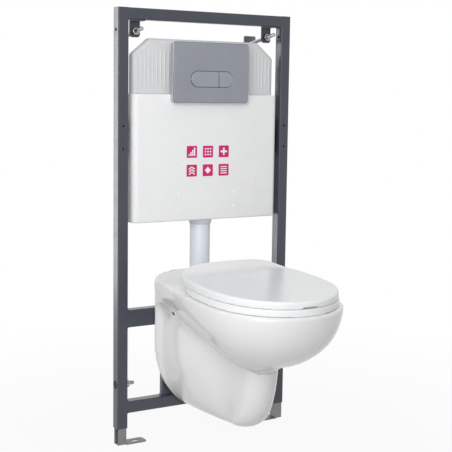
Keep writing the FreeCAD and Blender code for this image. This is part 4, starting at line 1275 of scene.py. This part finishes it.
def fill_chin(shape, rounds):
    """Fill the corner between the bowl's front and the trap's nose to a wide hollow."""
    chin = set()
    for vert in shape.verts:
        across, back, high = measure(vert.co)
        if not (within(back, FILL_ALONG) and abs(across) < FILL_HALF and vert.normal.z < STEEP):
            continue
        if abs(high - crease_high(back)) < FILL_NEAR + FILL_WIDER * ease(-back, *FILL_FADE):
            chin.add(vert)
    before = {vert: (vert.co.copy(), vert.normal.copy()) for vert in chin}
    relax(chin, rounds)
    for vert, (place, normal) in before.items():
        if (vert.co - place).dot(normal) < 0:
            vert.co = place


def sink_sump(shape, deep):
    """Sink the outlet's sump into the bowl's floor."""
    shape.normal_update()
    for vert in shape.verts:
        across, back, high = measure(vert.co)
        if vert.normal.z < FACES_UP or high > SUMP_TOP:
            continue
        reach = math.hypot(across / SUMP_HALF, (back - SUMP_BACK) / SUMP_LONG)
        vert.co.z -= deep * (1 - ease(reach, SUMP_WALL, 1.0))


def sump_mouth_shade(shape, tree):
    """A dark disc at the sump's bottom: painted shade in the trap's mouth."""
    spot = meet(tree, at(0, SUMP_BACK, SUMP_AIM), Vector((0, 0, -1)))[0]
    half, long = SUMP_HALF * MOUTH_SHADE_SHARE, SUMP_LONG * MOUTH_SHADE_SHARE
    turned(
        shape, MOUTH_SHADE_PROFILE,
        lambda across, back, lift: spot + Vector((across * half, back * long, lift)) * MM, turns=40,
    )


def side_bush(ring_shape, hole_shade_shape, tree, side, radius):
    """A bush in the trap's side, where the pan is bolted, with a dark disc in its hole as painted shade."""
    spot, normal = meet(tree, at(BUSH_AIM * side, BUSH_BACK, BUSH_HIGH), Vector((-side, 0, 0)))
    turn = Vector((0, 0, 1)).rotation_difference(normal)
    for shape, profile in ((ring_shape, BUSH_RING), (hole_shade_shape, BUSH_HOLE_SHADE)):
        turned(
            shape, profile,
            lambda across, back, lift: spot + turn @ Vector((across, back, lift)) * radius, turns=28,
        )


class TOILETFRAME_OT_pan(bpy.types.Operator):
    """Cast the glazed pan from its solid, soften its hollows and set the bushes in its sides"""

    bl_idname = "toilet_frame.pan"
    bl_label = "Pan"

    def execute(self, context):
        sizes, colours = settings(context)
        glaze = finish_of(colours, "white_glaze")
        pan = cast("pan", "glazed_pan", sizes.glaze_cell, sizes.glaze_rounds, glaze, "frame")
        shape = bmesh.new()
        shape.from_mesh(pan.data)
        draw_in(shape)
        lift_crease(shape)
        fill_crease(shape, sizes.crease_rings, sizes.crease_rounds)
        smooth_wing(shape, sizes.wing_rounds)
        drop_chin(shape)
        fill_chin(shape, sizes.chin_rounds)
        sink_sump(shape, sizes.sump_deep)
        shape.normal_update()
        tree = BVHTree.FromBMesh(shape)
        shape.to_mesh(pan.data)
        shape.free()
        rings = bmesh.new()
        hole_shades = bmesh.new()
        for side in SIGNS:
            side_bush(rings, hole_shades, tree, side, sizes.bush_radius)
        new_piece("side_bushes", rings, finish_of(colours, "bright_chrome"), "frame")
        # A dark disc at the sump's bottom: painted shade in the trap's mouth.
        mouth_shade = bmesh.new()
        sump_mouth_shade(mouth_shade, tree)
        new_piece("sump_mouth_shade", mouth_shade, finish_of(colours, "painted_hole_and_gap_shade"), "frame")
        # Dark discs in the bushes' holes: painted shade.
        new_piece("side_hole_shades", hole_shades, finish_of(colours, "painted_hole_and_gap_shade"), "frame")
        return {"FINISHED"}


# Pads under the seat and the lid, in millimetres: right and left of the middle, behind the frame's front.
PAD_PLACES = ((137, -235), (84, -412))
PAD_HALF = 6
PAD_LONG = 7
PAD_TURNS = 32
UNDERSIDE = -0.95


def hollow_under(piece, lip, deep):
    """Hollow a moulded underside, leaving a lip round its edges, and give back the shape to aim at."""
    shape = bmesh.new()
    shape.from_mesh(piece.data)
    shape.normal_update()
    under = {vert for vert in shape.verts if vert.normal.z < UNDERSIDE}
    rim = [vert for vert in under if any(edge.other_vert(vert) not in under for edge in vert.link_edges)]
    edges = KDTree(len(rim))
    for number, vert in enumerate(sorted(rim, key=lambda vert: vert.index)):
        edges.insert(vert.co, number)
    edges.balance()
    for vert in under:
        vert.co.z += deep * ease(edges.find(vert.co)[2], lip, lip + deep)
    shape.normal_update()
    tree = BVHTree.FromBMesh(shape)
    shape.to_mesh(piece.data)
    shape.free()
    return tree


def under_pad(shape, tree, across, back, deep):
    """One soft pad with round ends in a hollow underside, level with its lip."""
    spot, normal = meet(tree, at(across, back, 0), Vector((0, 0, 1)))
    turn = Vector((0, 0, 1)).rotation_difference(normal)
    top = deep / MM
    rows = []
    for share, lift in ((1.0, -0.6), (1.0, top - 1.2), (0.8, top - 0.4), (0.3, top - 0.3)):
        loop = []
        for step in range(PAD_TURNS):
            angle = 2 * math.pi * step / PAD_TURNS
            long = math.copysign(PAD_LONG, math.sin(angle)) if step % (PAD_TURNS // 2) else 0
            flat = Vector((
                PAD_HALF * math.cos(angle) * share, (PAD_HALF * math.sin(angle) + long) * share, lift,
            ))
            loop.append(spot + turn @ flat * MM)
        rows.append(loop)
    skin(shape, rows)


class TOILETFRAME_OT_seat(bpy.types.Operator):
    """Cast the seat and the lid, pad their undersides and finish the hinges"""

    bl_idname = "toilet_frame.seat"
    bl_label = "Seat and lid"

    def execute(self, context):
        sizes, colours = settings(context)
        plastic = finish_of(colours, "seat_plastic")
        rubber = finish_of(colours, "pad_rubber")
        for node, body in (("seat_ring", "seat"), ("lid", "lid")):
            cover = cast(
                node, body + "_cover", sizes.seat_cell, sizes.seat_rounds, plastic, body,
            )
            tree = hollow_under(cover, sizes.under_lip, sizes.under_deep)
            pads = bmesh.new()
            for across, back in PAD_PLACES:
                for side in SIGNS:
                    under_pad(pads, tree, across * side, back, sizes.under_deep)
            new_piece(body + "_pads", pads, rubber, body, sharp=50)
        for name in SIDES:
            dress(name + "_seat_hinge", finish_of(colours, "bright_chrome"), sizes.sheet_edge)
        return {"FINISHED"}


WHITE = (1, 1, 1, 1)
PAPER = (0.5, 0.5, 0.5, 1)
WORLD_LEVEL = 0.42
FLOOR_RADIUS = 14
FLOOR_DROP = -0.3
CAMERA_PLACE = (-1410.9, -2350.2, 876.7)
CAMERA_LENS = 86.118
CAMERA_YAW, CAMERA_PITCH, CAMERA_ROLL = 0.559, 0.122, 0.014


def background_strength(tree):
    """One where the camera, a mirror or glass looks straight at the backdrop, otherwise nothing."""
    path = add(tree, "ShaderNodeLightPath").outputs
    seen = path["Is Camera Ray"]
    for ray in ("Is Glossy Ray", "Is Transmission Ray"):
        seen = add(tree, "ShaderNodeMath", {0: seen, 1: path[ray]}, operation="MAXIMUM").outputs["Value"]
    return seen


def floor_material():
    """White floor that keeps the object's soft shadow near it and runs out to plain white."""
    material = bpy.data.materials.new("white_floor")
    material.use_nodes = True
    tree = material.node_tree
    tree.nodes.clear()
    paper = add(tree, "ShaderNodeBsdfDiffuse", {"Color": PAPER}).outputs["BSDF"]
    glow = add(tree, "ShaderNodeEmission", {"Color": WHITE, "Strength": 1.0}).outputs["Emission"]
    spot = add(tree, "ShaderNodeNewGeometry").outputs["Position"]
    reach = add(tree, "ShaderNodeVectorMath", {0: spot, 1: at(0, -100, 0)}, operation="DISTANCE")
    fade = spread(tree, reach.outputs["Value"], From_Min=0.45, From_Max=1.5, To_Min=0.93, To_Max=1.0)
    share = product(tree, fade, background_strength(tree))
    mix = add(tree, "ShaderNodeMixShader", {0: share, 1: paper, 2: glow}).outputs["Shader"]
    add(tree, "ShaderNodeOutputMaterial", {"Surface": mix})
    return material


def soft_world(level):
    """Even soft light from all round, seen as plain white."""
    world = bpy.data.worlds.new("white_room")
    bpy.context.scene.world = world
    world.use_nodes = True
    tree = world.node_tree
    tree.nodes.clear()
    light = add(tree, "ShaderNodeBackground", {"Color": WHITE, "Strength": level}).outputs["Background"]
    white = add(tree, "ShaderNodeBackground", {"Color": WHITE, "Strength": 1.0}).outputs["Background"]
    values = {0: background_strength(tree), 1: light, 2: white}
    mix = add(tree, "ShaderNodeMixShader", values).outputs["Shader"]
    add(tree, "ShaderNodeOutputWorld", {"Surface": mix})


def lamp(name, place, target, wide, tall, power):
    """A soft lamp that looks at a place and isn't seen itself."""
    data = bpy.data.lights.new(name, "AREA")
    data.shape = "RECTANGLE"
    data.size = wide
    data.size_y = tall
    data.energy = power
    lamp_object = bpy.data.objects.new(name, data)
    lamp_object.location = place
    lamp_object.rotation_euler = (target - place).to_track_quat("-Z", "Y").to_euler()
    lamp_object.visible_camera = False
    bpy.context.scene.collection.objects.link(lamp_object)
    return lamp_object


def set_lamps():
    """A wide key lamp, a strip that only shines along the posts, a fill from above, and low and back fills
    that leave no reflection.
    """
    target = at(0, -100, 560)
    lamp("key_lamp", at(-1800, -2300, 1800), target, wide=2.1, tall=2.1, power=50.5)
    strip = lamp("side_strip", at(-1500, 1700, 500), at(-250, 14, 560), wide=1.0, tall=2.4, power=32)
    strip.visible_diffuse = False
    tubes = bpy.data.collections.new("tubes_that_shine")
    for name in SIDES:
        for part in ("post", "inner_post"):
            tubes.objects.link(frame["nodes"][name + "_" + part])
    strip.light_linking.receiver_collection = tubes
    lamp("top_fill", at(-300, -700, 3000), target, wide=2.4, tall=2.4, power=9)
    low_fill = lamp("low_fill", at(-1700, -1500, 250), at(0, -250, 260), wide=1.4, tall=0.8, power=9)
    low_fill.visible_glossy = False
    back_fill = lamp("back_fill", at(500, 2500, 420), at(0, 130, 560), wide=2.0, tall=1.0, power=20)
    back_fill.visible_glossy = False


def set_camera():
    """The camera at the photograph's viewing angle."""
    data = bpy.data.cameras.new("camera")
    data.sensor_width = 36
    data.sensor_fit = "HORIZONTAL"
    data.lens = CAMERA_LENS
    data.clip_end = 60
    level = math.cos(CAMERA_PITCH)
    ahead = Vector((math.sin(CAMERA_YAW) * level, math.cos(CAMERA_YAW) * level, -math.sin(CAMERA_PITCH)))
    right = Vector((math.cos(CAMERA_YAW), -math.sin(CAMERA_YAW), 0))
    up = right.cross(ahead)
    right_rolled = right * math.cos(CAMERA_ROLL) + up * math.sin(CAMERA_ROLL)
    up_rolled = up * math.cos(CAMERA_ROLL) - right * math.sin(CAMERA_ROLL)
    turn = Matrix((right_rolled, up_rolled, -ahead)).transposed()
    camera = bpy.data.objects.new("camera", data)
    camera.matrix_world = Matrix.Translation(at(*CAMERA_PLACE)) @ turn.to_4x4()
    bpy.context.scene.collection.objects.link(camera)
    bpy.context.scene.camera = camera


class TOILETFRAME_OT_stage(bpy.types.Operator):
    """Set the floor, the light and the camera"""

    bl_idname = "toilet_frame.stage"
    bl_label = "Stage"

    def execute(self, context):
        shape = bmesh.new()
        bmesh.ops.create_circle(shape, cap_ends=True, radius=FLOOR_RADIUS, segments=96)
        mesh = bpy.data.meshes.new("floor")
        shape.to_mesh(mesh)
        shape.free()
        mesh.materials.append(floor_material())
        floor = bpy.data.objects.new("floor", mesh)
        floor.location = at(0, 0, FLOOR_DROP)
        context.scene.collection.objects.link(floor)
        floor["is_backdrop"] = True
        soft_world(WORLD_LEVEL)
        set_lamps()
        set_camera()
        context.scene.view_settings.view_transform = "Standard"
        return {"FINISHED"}


OPERATORS = (
    TOILETFRAME_OT_tubes,
    TOILETFRAME_OT_fixings,
    TOILETFRAME_OT_legs,
    TOILETFRAME_OT_cistern,
    TOILETFRAME_OT_flush_plate,
    TOILETFRAME_OT_pipes,
    TOILETFRAME_OT_pan,
    TOILETFRAME_OT_seat,
    TOILETFRAME_OT_stage,
)


class TOILETFRAME_PT_panel(bpy.types.Panel):
    """The pieces of the frame, in the order in which they are made"""

    bl_idname = "TOILETFRAME_PT_panel"
    bl_label = "Toilet frame"
    bl_space_type = "VIEW_3D"
    bl_region_type = "UI"
    bl_category = "Toilet frame"

    def draw(self, context):
        for operator in OPERATORS:
            self.layout.operator(operator.bl_idname)
        for group in settings(context):
            for name in group.__annotations__:
                self.layout.prop(group, name)


CLASSES = (FrameSizes, FrameColours) + OPERATORS + (TOILETFRAME_PT_panel,)


def register():
    """Register the classes and hang the sizes and colours on the scene."""
    for item in CLASSES:
        bpy.utils.register_class(item)
    bpy.types.Scene.toilet_frame_sizes = PointerProperty(type=FrameSizes)
    bpy.types.Scene.toilet_frame_colours = PointerProperty(type=FrameColours)


def unregister():
    """Take the sizes, colours and classes away again."""
    del bpy.types.Scene.toilet_frame_colours
    del bpy.types.Scene.toilet_frame_sizes
    for item in reversed(CLASSES):
        bpy.utils.unregister_class(item)


def main():
    """Make every piece in order."""
    register()
    bpy.ops.toilet_frame.tubes()
    bpy.ops.toilet_frame.fixings()
    bpy.ops.toilet_frame.legs()
    bpy.ops.toilet_frame.cistern()
    bpy.ops.toilet_frame.flush_plate()
    bpy.ops.toilet_frame.pipes()
    bpy.ops.toilet_frame.pan()
    bpy.ops.toilet_frame.seat()
    bpy.ops.toilet_frame.stage()
    boxes = {"cad": CAD_BOX, "visual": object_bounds()}
    {name: [list(corner) for corner in box] for name, box in boxes.items()}


if __name__ == "__main__":
    main()
